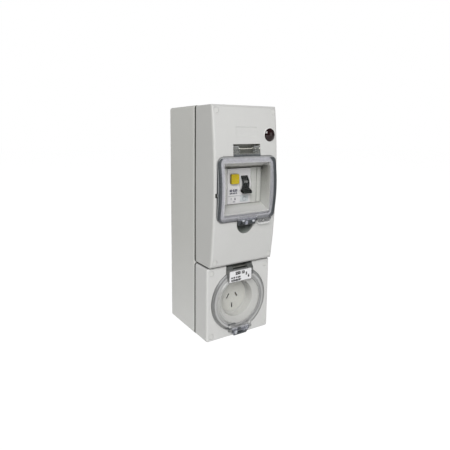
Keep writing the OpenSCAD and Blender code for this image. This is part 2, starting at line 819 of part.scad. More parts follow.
// Lower cover: rounded shell with the plug well, flap seat, hinge notch and catch
module lower_cover() color("gainsboro") upright() {
    w = cover_w;
    h = lower_cover_h - 2 * cover_inset;
    union() {
        difference() {
            union() {
                difference() {
                    slab(w, h, cover_r, lower_y, seam_z, lower_front_z);
                    slab(w - 2 * cover_wall, h - 2 * cover_wall, hollow_r, lower_y, seam_z - cut,
                        lower_front_z - cover_wall);
                }
                intersection() {
                    slab(w, h, cover_r, lower_y, seam_z, lower_front_z);
                    union() {
                        for (sx = [-1, 1], y = lower_screw_y)
                            rod(sx * screw_x, y, seam_z, lower_front_z, cover_post_r);
                        block(-pocket_w / 2 - pocket_wall, pocket_w / 2 + pocket_wall,
                            notch_bottom - pocket_wall, split_y, notch_floor_z - pocket_wall,
                            lower_front_z);
                    }
                }
                rod(0, socket_y, socket_z - floor_t, lower_front_z - cut, plug_well_r + well_wall);
                rod(0, socket_y, plug_lip_z - well_wall, lower_front_z - cut, disc_seat_r + well_wall + seam_gap);
                for (sx = [-1, 1])
                    rod(sx * insert_screw_x, socket_y, socket_z - floor_t, lower_front_z - cut, insert_boss_r);
            }
            round_edge(w, h, cover_r, lower_y, lower_front_z)
                difference() {
                    translate([-lower_edge_r, -lower_edge_r])
                        square([lower_edge_r + cut, lower_edge_r + cut]);
                    translate([-lower_edge_r, -lower_edge_r]) circle(lower_edge_r);
                }
            translate([0, socket_y, 0]) rotate_extrude()
                polygon([[0, socket_z], [plug_well_r, socket_z], [plug_well_r, plug_lip_z],
                    [plug_mouth_r, disc_seat_z], [disc_seat_r, disc_seat_z],
                    [disc_seat_r, lower_front_z + 2 * cut], [0, lower_front_z + 2 * cut]]);
            rod(0, socket_y, seam_z, lower_front_z, insert_r + fit_gap);
            block(-pocket_w / 2, pocket_w / 2, notch_bottom, split_y + cut, notch_floor_z, lower_front_z + cut);
            block(-pocket_w / 2, pocket_w / 2, socket_y + disc_step_r, split_y + cut, disc_seat_z,
                lower_front_z + cut);
            cross_rod(-pocket_w / 2 - pin_seat, pocket_w / 2 + pin_seat, disc_hinge_y, disc_hinge_z, pin_bore_r);
            for (sx = [-1, 1], y = lower_screw_y) {
                rod(sx * screw_x, y, seam_z - cut, lower_front_z, screw_shank_r + run_gap);
                rod(sx * screw_x, y, head_seat_z, lower_front_z + cut, counterbore_r);
            }
            for (sx = [-1, 1])
                rod(sx * insert_screw_x, socket_y, socket_z - floor_t - cut, socket_z + insert_bite,
                    insert_screw_r);
        }
        block(-catch_half, catch_half, disc_catch_y - catch_t, disc_catch_y,
            lower_front_z - lower_edge_r, lower_front_z + catch_h);
    }
}

// Top-hat rail that carries the device
module din_rail() color("lightsteelblue") upright() difference() {
    across(-rail_len / 2, rail_len / 2)
        translate([window_y, 0])
            polygon([[-rail_h / 2, rail_front_z], [-rail_mouth / 2, rail_front_z],
                [-rail_mouth / 2, rail_back_z + rail_t], [rail_mouth / 2, rail_back_z + rail_t],
                [rail_mouth / 2, rail_front_z], [rail_h / 2, rail_front_z],
                [rail_h / 2, rail_front_z - rail_t],
                [rail_mouth / 2 + rail_t, rail_front_z - rail_t],
                [rail_mouth / 2 + rail_t, rail_back_z], [-rail_mouth / 2 - rail_t, rail_back_z],
                [-rail_mouth / 2 - rail_t, rail_front_z - rail_t],
                [-rail_h / 2, rail_front_z - rail_t]]);
    for (sx = [-1, 1])
        rod(sx * rail_screw_x, window_y, rail_back_z - cut, rail_front_z, rail_screw_r + run_gap);
}

module rail_screws() color("silver") upright()
    for (sx = [-1, 1])
        translate([sx * rail_screw_x, window_y, 0])
            pan_screw(rail_back_z - rail_screw_l, rail_back_z + rail_t, rail_screw_r - pin_play,
                2 * rail_screw_r, rail_head_t);

// Places one child at each of the device's four terminals
module at_terminals() {
    for (sx = [-1, 1], sy = [-1, 1])
        translate([sx * terminal_x, window_y + sy * terminal_y, 0]) children();
}

// Places one child at each rivet of the device's case
module at_rivets() {
    for (sy = [-1, 1], y = [rivet_in_y, rivet_out_y])
        translate([0, window_y + sy * y, 0]) children();
}

// Rear half of the device's case, hooked over the rail's upper lip
module rcd_base() color("whitesmoke") upright() difference() {
    union() {
        difference() {
            block(-case_w / 2, case_w / 2, window_y - case_h / 2, window_y + case_h / 2,
                case_back_z, case_split_z);
            block(-case_w, case_w, window_y - rail_h / 2 - run_gap, window_y + rail_h / 2 + run_gap,
                case_back_z - cut, rail_front_z);
            block(-case_w / 2 + case_wall, case_w / 2 - case_wall, window_y - cavity_h / 2,
                window_y + cavity_h / 2, rail_front_z + nose_wall, case_split_z + cut);
        }
        block(-case_w / 2, case_w / 2, window_y + rail_h / 2 - hook_bite,
            window_y + rail_h / 2 + cut, case_back_z, rail_front_z - rail_t - run_gap);
    }
    block(-clip_w / 2 - run_gap, clip_w / 2 + run_gap, window_y - case_h, window_y - rail_h / 2,
        case_back_z - cut, case_back_z + clip_t + 2 * run_gap);
    at_terminals() {
        translate([0, 0, terminal_z + cut])
            cube([cage_w + 2 * fit_gap, cage_h + 2 * fit_gap, cage_d + 2 * cut + 2 * fit_gap], center = true);
        rotate([90, 0, 0]) translate([0, terminal_z, 0])
            cylinder(h = 2 * (case_h / 2 - terminal_y) + 2 * cut, r = wire_hole_r, center = true);
    }
    at_rivets()
        translate([0, 0, rail_front_z + rivet_seat])
            cylinder(h = case_split_z, r = rivet_r + fit_gap);
}

// Front half of the case, with the nose, toggle slot, button hole and bearings
module rcd_front() color("whitesmoke") upright() difference() {
    union() {
        difference() {
            union() {
                block(-case_w / 2, case_w / 2, window_y - case_h / 2, window_y + case_h / 2,
                    case_split_z, shoulder_z);
                block(-case_w / 2, case_w / 2, window_y - nose_h / 2, window_y + nose_h / 2,
                    case_split_z, nose_z);
            }
            block(-case_w / 2 + case_wall, case_w / 2 - case_wall,
                window_y - nose_h / 2 + case_wall, window_y + nose_h / 2 - case_wall,
                case_split_z - cut, nose_z - nose_wall);
        }
        for (s = [-1, 1])
            block(toggle_x + s * (toggle_w / 2 + cheek_gap + cheek_t / 2) - cheek_t / 2,
                toggle_x + s * (toggle_w / 2 + cheek_gap + cheek_t / 2) + cheek_t / 2,
                toggle_y - 2 * axle_r, toggle_y + 2 * axle_r, toggle_z - 2 * axle_r,
                nose_z - nose_wall / 2);
        block(-case_w / 2 + case_wall / 2, button_x + button_w / 2, button_y - button_h / 2,
            button_y + button_h / 2, shelf_z - shelf_t, shelf_z);
        for (s = [-1, 1])
            across(toggle_x + s * (toggle_w / 2 + cheek_gap + guard_t / 2) - guard_t / 2,
                toggle_x + s * (toggle_w / 2 + cheek_gap + guard_t / 2) + guard_t / 2)
                intersection() {
                    translate([toggle_y, toggle_z]) circle(toggle_r);
                    translate([toggle_y - toggle_r, nose_z - nose_wall / 2])
                        square([2 * toggle_r, toggle_r]);
                }
    }
    block(toggle_x - toggle_w / 2 - run_gap, toggle_x + toggle_w / 2 + run_gap,
        toggle_y - slot_half, toggle_y + slot_half, nose_z - nose_wall - cut, nose_z + cut);
    cross_rod(toggle_x - toggle_w / 2 - axle_bore, toggle_x + toggle_w / 2 + axle_bore, toggle_y,
        toggle_z, axle_r + pin_play);
    slab_at(button_x, button_y, button_w + 2 * run_gap, button_h + 2 * run_gap, button_corner_r,
        nose_z - nose_wall - cut, nose_z + cut);
    rod(button_x, button_y, shelf_z - shelf_t - cut, shelf_z + cut, stem_r + run_gap);
    cross_rod(-case_w / 2 + case_wall / 2, case_w / 2 - case_wall / 2, bridge_y, bridge_z,
        bridge_shaft_r + pin_play);
    at_terminals()
        translate([0, 0, case_split_z - cut])
            cylinder(h = shoulder_z, r = terminal_screw_r + run_gap);
    for (sx = [-1, 1])
        block(sx * terminal_x - strip_w / 2 - fit_gap, sx * terminal_x + strip_w / 2 + fit_gap,
            window_y - terminal_y, window_y - nose_h / 2 + case_wall + cut, case_split_z - cut,
            case_split_z + strip_t + fit_gap);
    at_rivets()
        translate([0, 0, case_split_z - cut]) cylinder(h = shoulder_z, r = rivet_r + fit_gap);
    slab_at(toggle_x, window_y - nose_h / 2 + flag_h / 2 + flag_rise, flag_w, flag_h, flag_r,
        nose_z - flag_sink, nose_z + cut);
}

// Rounded block about a point of the face
module slab_at(x, y, w, h, r, z0, z1) {
    translate([x, 0, 0]) slab(w, h, r, y, z0, z1);
}

module rcd_rivets() color("silver") upright()
    at_rivets() {
        rod(0, 0, rail_front_z + rivet_seat, shoulder_z + rivet_head_t / 2, rivet_r);
        rod(0, 0, shoulder_z, shoulder_z + rivet_head_t, rivet_head_r);
    }

// Brass cages that clamp the supply and load wires
module terminal_cages() color("goldenrod") upright()
    at_terminals()
        difference() {
            translate([0, 0, terminal_z]) cube([cage_w, cage_h, cage_d], center = true);
            translate([0, 0, terminal_z])
                rotate([90, 0, 0]) cylinder(h = 2 * cage_h, r = wire_r + run_gap, center = true);
            rod(0, 0, terminal_z, terminal_z + cage_d, terminal_shank_r + pin_play);
        }

module terminal_screws() color("silver") upright()
    at_terminals()
        pan_screw(terminal_z + wire_r + 2 * run_gap, case_split_z + terminal_seat, terminal_shank_r,
            terminal_screw_r, terminal_head_t);

// Ring core that both live wires pass through
module current_transformer() color("sienna") upright()
    translate([0, window_y - core_drop, rail_front_z + nose_wall])
        rotate_extrude() translate([core_in_r, 0])
            union() {
                translate([0, core_step]) square([core_out_r - core_in_r, core_h - 2 * core_step]);
                translate([core_step, 0]) square([core_out_r - core_in_r - 2 * core_step, core_h]);
            }

// Relay that trips the latch when the ring core sees leakage
module trip_relay() color("darkslategray") upright() {
    block(-relay_w / 2, relay_w / 2, window_y + core_out_r - relay_low,
        window_y + core_out_r + relay_high, rail_front_z + nose_wall,
        rail_front_z + nose_wall + relay_d);
    rod(0, window_y + core_out_r + (relay_high - relay_low) / 2,
        rail_front_z + nose_wall + relay_d - cut, rail_front_z + nose_wall + relay_d + plunger_l,
        plunger_r);
}

// Fixed contacts, one for each pole
module fixed_contacts() color("goldenrod") upright()
    for (sx = [-1, 1]) {
        block(sx * terminal_x - strip_w / 2, sx * terminal_x + strip_w / 2,
            window_y - terminal_y + terminal_screw_r + run_gap, bridge_y - finger_l + pad_lap,
            case_split_z, case_split_z + strip_t);
        rod(sx * terminal_x, bridge_y - finger_l + pad_in, case_split_z + strip_t / 2,
            bridge_z - bridge_shaft_r - pad_open, pad_r);
    }

// Moving contact bridge, turned by the toggle's linkage
module contact_bridge() color("peru") upright() {
    cross_rod(-case_w / 2 + case_wall / 2 + run_gap, case_w / 2 - case_wall / 2 - run_gap, bridge_y,
        bridge_z, bridge_shaft_r);
    for (sx = [-1, 1])
        block(sx * terminal_x - strip_w / 2, sx * terminal_x + strip_w / 2,
            bridge_y - finger_l - finger_over, bridge_y, bridge_z - finger_t / 2,
            bridge_z + finger_t / 2);
}

// Toggle: drum on an axle, with its lever resting down in the off position
module rcd_toggle() color("black") upright() {
    difference() {
        cross_rod(toggle_x - toggle_w / 2, toggle_x + toggle_w / 2, toggle_y, toggle_z, toggle_r);
        cross_rod(toggle_x - toggle_w / 2 - cut, toggle_x + toggle_w / 2 + cut, toggle_y,
            toggle_z - toggle_r, toggle_r - drum_web);
    }
    cross_rod(toggle_x - toggle_w / 2 - axle_out, toggle_x + toggle_w / 2 + axle_out, toggle_y,
        toggle_z, axle_r);
    translate([0, toggle_y, toggle_z]) rotate([-toggle_rest, 0, 0])
        intersection() {
            across(toggle_x - lever_w / 2, toggle_x + lever_w / 2)
                union() {
                    polygon([[-lever_t / 2, toggle_r / 2],
                        [-lever_t / 2 + lever_taper, lever_reach - lever_round],
                        [lever_t / 2 - lever_taper, lever_reach - lever_round],
                        [lever_t / 2, toggle_r / 2]]);
                    translate([0, lever_reach - lever_round]) circle(lever_t / 2 - lever_taper);
                }
            union() {
                block(toggle_x - toggle_w / 2, toggle_x + toggle_w / 2, -lever_t, lever_t, 0,
                    lever_reach + cut);
                rotate([90, 0, 0])
                    linear_extrude(2 * lever_t, center = true) translate([toggle_x, 0])
                        polygon([[-toggle_w / 2, toggle_r], [-lever_w / 2, toggle_r + lever_flare],
                            [-lever_w / 2, lever_reach + cut], [lever_w / 2, lever_reach + cut],
                            [lever_w / 2, toggle_r + lever_flare], [toggle_w / 2, toggle_r]]);
            }
        }
}

// Test button with its retaining flange and stem
module test_button() color("gold") upright() {
    difference() {
        slab_at(button_x, button_y, button_w, button_h, button_corner_r,
            nose_z - nose_wall - button_skirt, nose_z + button_out);
        translate([button_x, button_y, nose_z + button_out + dish_r - dish_t]) sphere(dish_r);
    }
    slab_at(button_x, button_y, button_w + 2 * button_flange, button_h + 2 * button_flange,
        button_corner_r + button_flange, nose_z - nose_wall - button_skirt,
        nose_z - nose_wall - run_gap);
    rod(button_x, button_y, shelf_z - shelf_t + stem_lift, nose_z - nose_wall - button_skirt / 2, stem_r);
}

// Points of one ring of the spring's wire, at a given angle along the coil
function spring_ring(a) = [
    for (k = [0:spring_sides - 1])
        let (b = 360 * k / spring_sides, r = spring_r + spring_wire * cos(b))
            [r * cos(a), r * sin(a), spring_pitch * a / 360 + spring_wire * sin(b)]];

// Quads, split in triangles, that join successive rings of a tube
function tube_faces(rings, sides) = concat(
    [for (i = [0:rings - 2], k = [0:sides - 1])
        [i * sides + k, (i + 1) * sides + k, i * sides + (k + 1) % sides]],
    [for (i = [0:rings - 2], k = [0:sides - 1])
        [i * sides + (k + 1) % sides, (i + 1) * sides + k, (i + 1) * sides + (k + 1) % sides]],
    [[for (k = [0:sides - 1]) k]], [[for (k = [sides - 1:-1:0]) (rings - 1) * sides + k]]);

// Coil spring that returns the test button
module test_spring() color("silver") upright() {
    steps = spring_turns * spring_steps;
    translate([button_x, button_y, shelf_z + spring_wire + spring_lift])
        polyhedron(points = [for (i = [0:steps]) each spring_ring(360 * i / spring_steps)],
            faces = tube_faces(steps + 1, spring_sides));
}

// Sliding clip that locks the device on the rail's lower lip
module rail_clip() color("dimgray") upright() difference() {
    block(-clip_w / 2, clip_w / 2, window_y - case_h / 2 - clip_tail,
        window_y - rail_h / 2 + hook_bite, case_back_z + run_gap, case_back_z + clip_t);
    block(-clip_w / 4, clip_w / 4, window_y - case_h / 2 - clip_tail + clip_slot,
        window_y - case_h / 2 - clip_tail + 2 * clip_slot, case_back_z - cut, rail_front_z);
}

// Ribbed strips that blank the unused module places beside the device
module blanking_strips() color("ivory") upright()
    for (sx = [-1, 1]) {
        mid = sx * (module_w + module_w / 2);
        w = module_w - 2 * fit_gap;
        h = window_h - 2 * fit_gap;
        difference() {
            union() {
                block(mid - w / 2, mid + w / 2, window_y - h / 2, window_y + h / 2,
                    nose_z - strip_d, nose_z - strip_sink);
                for (s = [-1, 1])
                    block(mid + s * w / 4 - w / 8, mid + s * w / 4 + w / 8, window_y - h / 2,
                        window_y + h / 2, nose_z - 2 * strip_sink, nose_z + strip_rib);
                block(mid - w / 2, mid + w / 2, window_y - h / 2 - strip_lip,
                    window_y + h / 2 + strip_lip, nose_z - strip_d - strip_lip,
                    well_bottom_z - fit_gap);
            }
            block(mid - w / 2 + case_wall, mid + w / 2 - case_wall, window_y - h / 2 + case_wall,
                window_y + h / 2 - case_wall, nose_z - 2 * strip_d, nose_z - strip_d / 2);
        }
    }

// Lens of the indicator lamp, a shallow dome on a flange
module lamp_lens() color("maroon") upright() translate([lamp_x, lamp_y, lamp_spot_z]) {
    cylinder(h = lens_flange_t, r = lamp_r);
    intersection() {
        translate([0, 0, lens_flange_t + lens_rise - lens_sphere_r]) sphere(lens_sphere_r);
        cylinder(h = lens_flange_t + lens_rise + cut, r = lamp_r - lens_rim);
    }
}

// Barrel of the lamp, with two tabs for its wires
module lamp_body() color("dimgray") upright() {
    rod(lamp_x, lamp_y, lamp_back_z, lamp_spot_z, lamp_hole_r - fit_gap);
    for (s = [-1, 1])
        block(lamp_x + s * tab_x - tab_w / 2, lamp_x + s * tab_x + tab_w / 2, lamp_y - tab_t / 2,
            lamp_y + tab_t / 2, lamp_back_z - tab_l, lamp_back_z + cut);
}

// Hexagonal nut that clamps the lamp behind the cover
module lamp_nut() color("dimgray") upright()
    translate([lamp_x, lamp_y, lamp_spot_z - cover_wall - nut_t])
        difference() {
            cylinder(h = nut_t, r = nut_r, $fn = 6);
            translate([0, 0, -cut])
                cylinder(h = nut_t + 2 * cut, r = lamp_hole_r - fit_gap + pin_play);
        }

// Bowed and rounded form of the window flap, shrunk by a wall
module flap_form(inset, r, w, h, corner) {
    intersection() {
        slab(w - 2 * inset, h - 2 * inset, corner - inset, flap_y, seam_z, flap_front_z + 2 * cut);
        bowed(r, flap_y, flap_front_z - flap_bow_r + r, w - 2 * inset, 0, bowed_d, flap_edge_r);
    }
}

// Hinge arm of the window flap, drawn from the side
module flap_arm() {
    translate([hinge_y, hinge_z]) circle(hinge_r);
    polygon([[flap_top - flap_wall / 2, hinge_z + hinge_r + arm_rise],
        [flap_top - flap_wall / 2, flap_z(flap_top) - arm_drop],
        [flap_top + arm_knee, hinge_z + hinge_r + arm_hump],
        [hinge_y, hinge_z + hinge_r - arm_blend], [hinge_y, hinge_z - arm_drop],
        [flap_top + arm_knee, hinge_z + arm_drop]]);
}

// Clear flap over the modules
module window_flap() color("lightblue", 0.4) upright() difference() {
    union() {
        difference() {
            union() {
                flap_form(0, flap_bow_r, flap_w, flap_h, flap_r);
                flap_form(0, flap_bow_r + panel_rise, flap_w - 2 * frame_w, flap_h - 2 * frame_w,
                    flap_r - frame_w / 2);
            }
            for (s = [-1, 1])
                translate([0, flap_y + s * flap_h / 2, flap_z(flap_top)]) rotate([s * 45, 0, 0])
                    cube([2 * flap_w, 2 * flap_chamfer, 8 * flap_chamfer], center = true);
            flap_form(flap_wall, flap_bow_r - flap_wall, flap_w, flap_h, flap_r);
            behind_bow(seat_r + run_gap);
        }
        difference() {
            intersection() {
                seal_ring();
                cross_rod(-flap_w, flap_w, flap_y, flap_front_z - flap_bow_r,
                    flap_bow_r - flap_wall / 2, $fn = 720);
            }
            behind_bow(seal_r + seal_t);
        }
        for (s = [-1, 1]) {
            across(s > 0 ? arm_in : -arm_out, s > 0 ? arm_out : -arm_in)
                flap_arm();
            cross_rod(s > 0 ? latch_half + run_gap : -latch_half - run_gap - boss_l,
                s > 0 ? latch_half + run_gap + boss_l : -latch_half - run_gap, latch_y, latch_z,
                latch_r);
            block(s * flap_w / 2 - nub_t, s * flap_w / 2 + nub_t, nub_y - nub_h / 2,
                nub_y + nub_h / 2, bow_z(nub_y) + run_gap, bow_z(nub_y) + nub_h);
        }
        block(-arm_in - cut, arm_in + cut, flap_top - flap_wall / 2, flap_top + web_l,
            hinge_z + web_z, flap_z(flap_top) - web_z);
        for (i = [-1:1])
            block(i * rib_step - rib_t / 2, i * rib_step + rib_t / 2, flap_top - flap_wall / 2,
                flap_top + web_l, hinge_z + arm_drop / 2, flap_z(flap_top) - web_z);
        intersection() {
            slab_at(lug_x, flap_bottom + 1, lug_w, lug_l, lug_r, bow_z(flap_bottom) + run_gap,
                bow_z(flap_bottom) + lug_t);
            block(0, body_w, flap_bottom - lug_l, flap_bottom + flap_wall, seam_z, flap_front_z);
        }
    }
    block(-latch_half - run_gap, latch_half + run_gap, flap_bottom - cut,
        latch_y + latch_r + 2 * run_gap, seam_z, flap_front_z);
    cross_rod(-pocket_w, pocket_w, hinge_y, hinge_z, pin_bore_r);
    cross_rod(-latch_half - run_gap - boss_l + cup, latch_half + run_gap + boss_l - cup, latch_y,
        latch_z, latch_pin_r + pin_play);
    rod(lug_x, flap_bottom - lug_hole_drop, seam_z, flap_front_z, lug_hole_r);
}

// Ring round the window well, grown outwards and inwards from the cover's lip
module seal_ring() {
    difference() {
        slab(window_w + 2 * lip_out + 2 * seal_out, well_mouth_h + 2 * lip_out + 2 * seal_out,
            lip_out + seal_out, window_y, seam_z, flap_front_z);
        slab(window_w + 2 * seal_in, well_mouth_h + 2 * seal_in, lip_out, window_y, seam_z - cut,
            flap_front_z + cut);
    }
}

// Soft seal under the window flap, pressing on the lip round the well
module window_seal() color("dimgray") upright() difference() {
    intersection() {
        seal_ring();
        behind_bow(seal_r + seal_t);
    }
    behind_bow(seal_r);
}

module window_hinge_pin() color("silver") upright()
    cross_rod(-pocket_w / 2 - pin_seat + pin_end, pocket_w / 2 + pin_seat - pin_end, hinge_y,
        hinge_z, pin_radius);

// Latch lever at the foot of the window flap; its hook drops behind the catch in the scoop
module window_latch() color("lightblue", 0.5) upright() difference() {
    union() {
        across(-latch_half, latch_half)
            union() {
                translate([latch_y, latch_z]) circle(latch_r);
                polygon([[latch_y, latch_z - latch_under], [latch_y, latch_z + latch_r - arm_blend],
                    [latch_tip_y + latch_nose, latch_z + arm_hump],
                    [latch_tip_y, latch_z + arm_rise], [latch_tip_y, latch_z - latch_under]]);
            }
        across(-catch_half, catch_half)
            polygon([[scoop_y + arm_blend, latch_z - latch_nose],
                [scoop_y + arm_blend, bow_z(scoop_y) - bar_sink],
                [latch_tip_y + latch_nose, bow_z(scoop_y) - bar_sink - bar_lift],
                [latch_tip_y, bow_z(scoop_y) - bar_sink / 2], [latch_tip_y, latch_z - latch_nose]]);
        for (s = [-1, 1])
            cross_rod(s * grip_x - grip_w / 2, s * grip_x + grip_w / 2, latch_tip_y + grip_up,
                latch_z + latch_nose, grip_r);
    }
    cross_rod(-latch_half - cut, latch_half + cut, latch_y, latch_z, latch_pin_r + pin_play);
}

module window_latch_pin() color("silver") upright()
    cross_rod(-latch_half - run_gap - boss_l + cup + pin_end,
        latch_half + run_gap + boss_l - cup - pin_end, latch_y, latch_z, latch_pin_r);

// Places one child at each blade slot, turned to lie along it
module at_blades() {
    for (s = [-1, 1])
        translate([s * pin_r * cos(blade_turn), pattern_y + pin_r * sin(blade_turn), 0])
            rotate([0, 0, s * blade_turn]) children();
    translate([0, pattern_y - earth_r, 0]) children();
}

// Socket face with its three slots and the contact chambers behind
module socket_insert() color("whitesmoke") upright() difference() {
    union() {
        rod(0, socket_y, insert_back_z, socket_z, insert_r);
        rod(0, socket_y, socket_z - floor_t - flange_t, socket_z - floor_t, insert_flange_r);
        for (sx = [-1, 1]) {
            rod(sx * insert_screw_x, socket_y, socket_z - floor_t - flange_t, socket_z - floor_t,
                insert_boss_r);
            translate([sx * (insert_r + insert_screw_x) / 2, socket_y, socket_z - floor_t - flange_t / 2])
                cube([insert_screw_x - insert_r, 2 * insert_boss_r, flange_t], center = true);
        }
    }
    at_blades() {
        translate([0, 0, socket_z]) cube([slot_w, slot_l, 4 * face_t], center = true);
        translate([0, 0, insert_back_z - cut])
            linear_extrude(socket_z - face_t - insert_back_z + cut)
                square([chamber_w, chamber_l], center = true);
    }
    for (sx = [-1, 1])
        rod(sx * insert_screw_x, socket_y, insert_back_z, socket_z, insert_screw_r + run_gap);
}

// Sprung brass contacts, one behind each slot, with a terminal block at the back
module socket_contacts() color("goldenrod") upright()
    at_blades()
        difference() {
            translate([0, 0, insert_back_z - contact_tail])
                linear_extrude(socket_z - face_t - fit_gap - insert_back_z + contact_tail)
                    square([chamber_w - 2 * fit_gap, chamber_l - 2 * fit_gap], center = true);
            translate([0, 0, insert_back_z + contact_root])
                linear_extrude(socket_z) square([blade_t, chamber_l], center = true);
            translate([0, 0, insert_back_z - contact_tail / 2]) rotate([90, 0, 0])
                cylinder(h = chamber_l + 2 * cut, r = wire_r + fit_gap, center = true);
            rod(0, 0, insert_back_z - contact_tail - cut, insert_back_z - contact_tail / 2,
                clamp_r + pin_play);
        }

// Screws that clamp the wires in the contact terminals, driven from the back
module contact_screws() color("silver") upright()
    at_blades()
        translate([0, 0, insert_back_z - contact_tail - clamp_out])
            difference() {
                cylinder(h = clamp_out + contact_tail / 2 - wire_r - 2 * fit_gap, r = clamp_r);
                translate([-clamp_r, -clamp_slot / 2, -cut])
                    cube([2 * clamp_r, clamp_slot, cut + clamp_slot]);
            }

// Screws that hold the socket insert to the lower cover
module insert_screws() color("silver") upright()
    for (sx = [-1, 1])
        translate([sx * insert_screw_x, socket_y, 2 * (socket_z - floor_t - flange_t)])
            mirror([0, 0, 1]) pan_screw(socket_z - floor_t - flange_t - floor_t - insert_bite,
                socket_z - floor_t - flange_t, insert_screw_r - pin_play, insert_boss_r - cup,
                insert_head_t);

// Round clear flap over the socket, with its hinge tab, label pad and latch ears
module socket_flap() color("lightblue", 0.4) upright() difference() {
    union() {
        translate([0, socket_y, 0])
            rotate_extrude() polygon([[0, disc_front_z], [disc_step_r - disc_step_in, disc_front_z],
                [disc_step_r - disc_step_in + disc_slope, disc_flange_z],
                [disc_r - disc_soft, disc_flange_z], [disc_r, disc_flange_z - disc_soft],
                [disc_r, disc_seat_z + run_gap], [disc_r - flap_wall, disc_seat_z + run_gap],
                [disc_r - flap_wall, disc_flange_z - flap_wall],
                [disc_step_r - disc_step_in, disc_flange_z - flap_wall],
                [disc_step_r - disc_step_in - disc_slope, disc_front_z - flap_wall],
                [0, disc_front_z - flap_wall]]);
        block(-arm_out, arm_out, label_top - label_h - tab_under,
            disc_hinge_y - disc_hinge_r - tab_gap, disc_flange_z - flap_wall, disc_front_z);
        for (s = [-1, 1])
            across(s > 0 ? arm_in : -arm_out, s > 0 ? arm_out : -arm_in)
                union() {
                    translate([disc_hinge_y, disc_hinge_z]) circle(disc_hinge_r);
                    polygon([[disc_hinge_y - disc_hinge_r - knuckle_back,
                        disc_flange_z - flap_wall + arm_blend],
                        [disc_hinge_y - disc_hinge_r - knuckle_back, disc_front_z],
                        [disc_hinge_y - knuckle_back, disc_front_z],
                        [disc_hinge_y + arm_drop, disc_hinge_z + disc_hinge_r - run_gap],
                        [disc_hinge_y, disc_hinge_z - knuckle_back / 2]]);
                }
        for (s = [-1, 1])
            across(s > 0 ? ear_in : -ear_in - ear_t, s > 0 ? ear_in + ear_t : -ear_in)
                union() {
                    translate([disc_latch_y, disc_latch_z]) circle(disc_latch_r);
                    polygon([[disc_latch_y - disc_latch_r, disc_flange_z - tab_gap],
                        [disc_latch_y - disc_latch_r + label_sink, disc_latch_z],
                        [disc_latch_y + arm_rise, disc_latch_z + disc_latch_r],
                        [disc_latch_y + ear_l, disc_flange_z - tab_gap]]);
                }
    }
    slab(label_w + 2 * fit_gap, label_h + 2 * fit_gap, label_r + fit_gap,
        label_top - label_h / 2 - fit_gap, disc_front_z - label_t, disc_front_z + cut);
    cross_rod(-ear_in, ear_in, disc_latch_y, disc_latch_z, disc_latch_r + run_gap);
    cross_rod(-pocket_w, pocket_w, disc_hinge_y, disc_hinge_z, pin_bore_r);
    cross_rod(-ear_in - ear_t + cup, ear_in + ear_t - cup, disc_latch_y, disc_latch_z,
        latch_pin_r + pin_play);
}

// Soft ring under the socket flap
module socket_seal() color("gray") upright()
    translate([0, socket_y, disc_seat_z + run_gap])
        rotate_extrude() translate([disc_step_r + 2 * run_gap, 0])
            square([disc_r - flap_wall - disc_step_r - 3 * run_gap,
                disc_flange_z - flap_wall - disc_seat_z - run_gap]);

module socket_hinge_pin() color("silver") upright()
    cross_rod(-pocket_w / 2 - pin_seat + pin_end, pocket_w / 2 + pin_seat - pin_end, disc_hinge_y,
        disc_hinge_z, pin_radius);

// Bare label plate set in the flap's tab
module flap_label() color("white") upright()
    slab(label_w, label_h, label_r, label_top - label_h / 2 - fit_gap, disc_front_z - label_t,
        disc_front_z - label_sink);

// Latch lever at the foot of the socket flap; its hook drops below the catch on the cover
module socket_latch() color("lightblue", 0.5) upright() difference() {
    union() {
        intersection() {
            across(-ear_in + run_gap, ear_in - run_gap)
                union() {
                    translate([disc_latch_y, disc_latch_z]) circle(disc_latch_r);
                    polygon([[disc_latch_y, disc_flange_z + run_gap],
                        [disc_latch_y, disc_latch_z + disc_latch_r - arm_blend],
                        [disc_latch_tip_y + latch_nose, disc_latch_z + arm_hump],
                        [disc_latch_tip_y, disc_latch_z + tab_gap],
                        [disc_latch_tip_y, disc_flange_z + run_gap]]);
                }
            translate([0, 0, lower_front_z]) linear_extrude(4 * disc_latch_r)
                polygon([[-ear_in, disc_latch_y + 2 * disc_latch_r],
                    [ear_in, disc_latch_y + 2 * disc_latch_r],
                    [ear_in, disc_latch_y - disc_latch_r],
                    [disc_latch_tip_half, disc_latch_tip_y - cut],
                    [-disc_latch_tip_half, disc_latch_tip_y - cut],
                    [-ear_in, disc_latch_y - disc_latch_r]]);
        }
        across(-catch_half, catch_half)
            polygon([[disc_latch_tip_y, disc_latch_z],
                [disc_latch_tip_y, lower_front_z + 3 * run_gap],
                [disc_latch_tip_y + 2 * run_gap, lower_front_z + run_gap],
                [disc_hook_y, lower_front_z + run_gap], [disc_hook_y, disc_latch_z]]);
    }
    slab(eye_w, eye_h, eye_r, disc_latch_y - disc_latch_r - eye_h / 2 - tab_gap,
        lower_front_z + run_gap, disc_latch_z + 2 * disc_latch_r);
    cross_rod(-ear_in, ear_in, disc_latch_y, disc_latch_z, latch_pin_r + pin_play);
}

module socket_latch_pin() color("silver") upright()
    cross_rod(-ear_in - ear_t + cup + pin_end, ear_in + ear_t - cup - pin_end, disc_latch_y,
        disc_latch_z, latch_pin_r);

// Direction of a route at one of its points
function heading(p, i) = let (a = p[max(i - 1, 0)], b = p[min(i + 1, len(p) - 1)]) (b - a) / norm(b - a);

// Ring of points about one point of a route, square to its heading
function wire_ring(c, d, r) = let (side = cross(d, abs(d[0]) < 0.9 ? [1, 0, 0] : [0, 1, 0]),
    u = side / norm(side), v = cross(d, u))
    [for (k = [0:wire_sides - 1]) let (b = 360 * k / wire_sides) c + r * (cos(b) * u + sin(b) * v)];

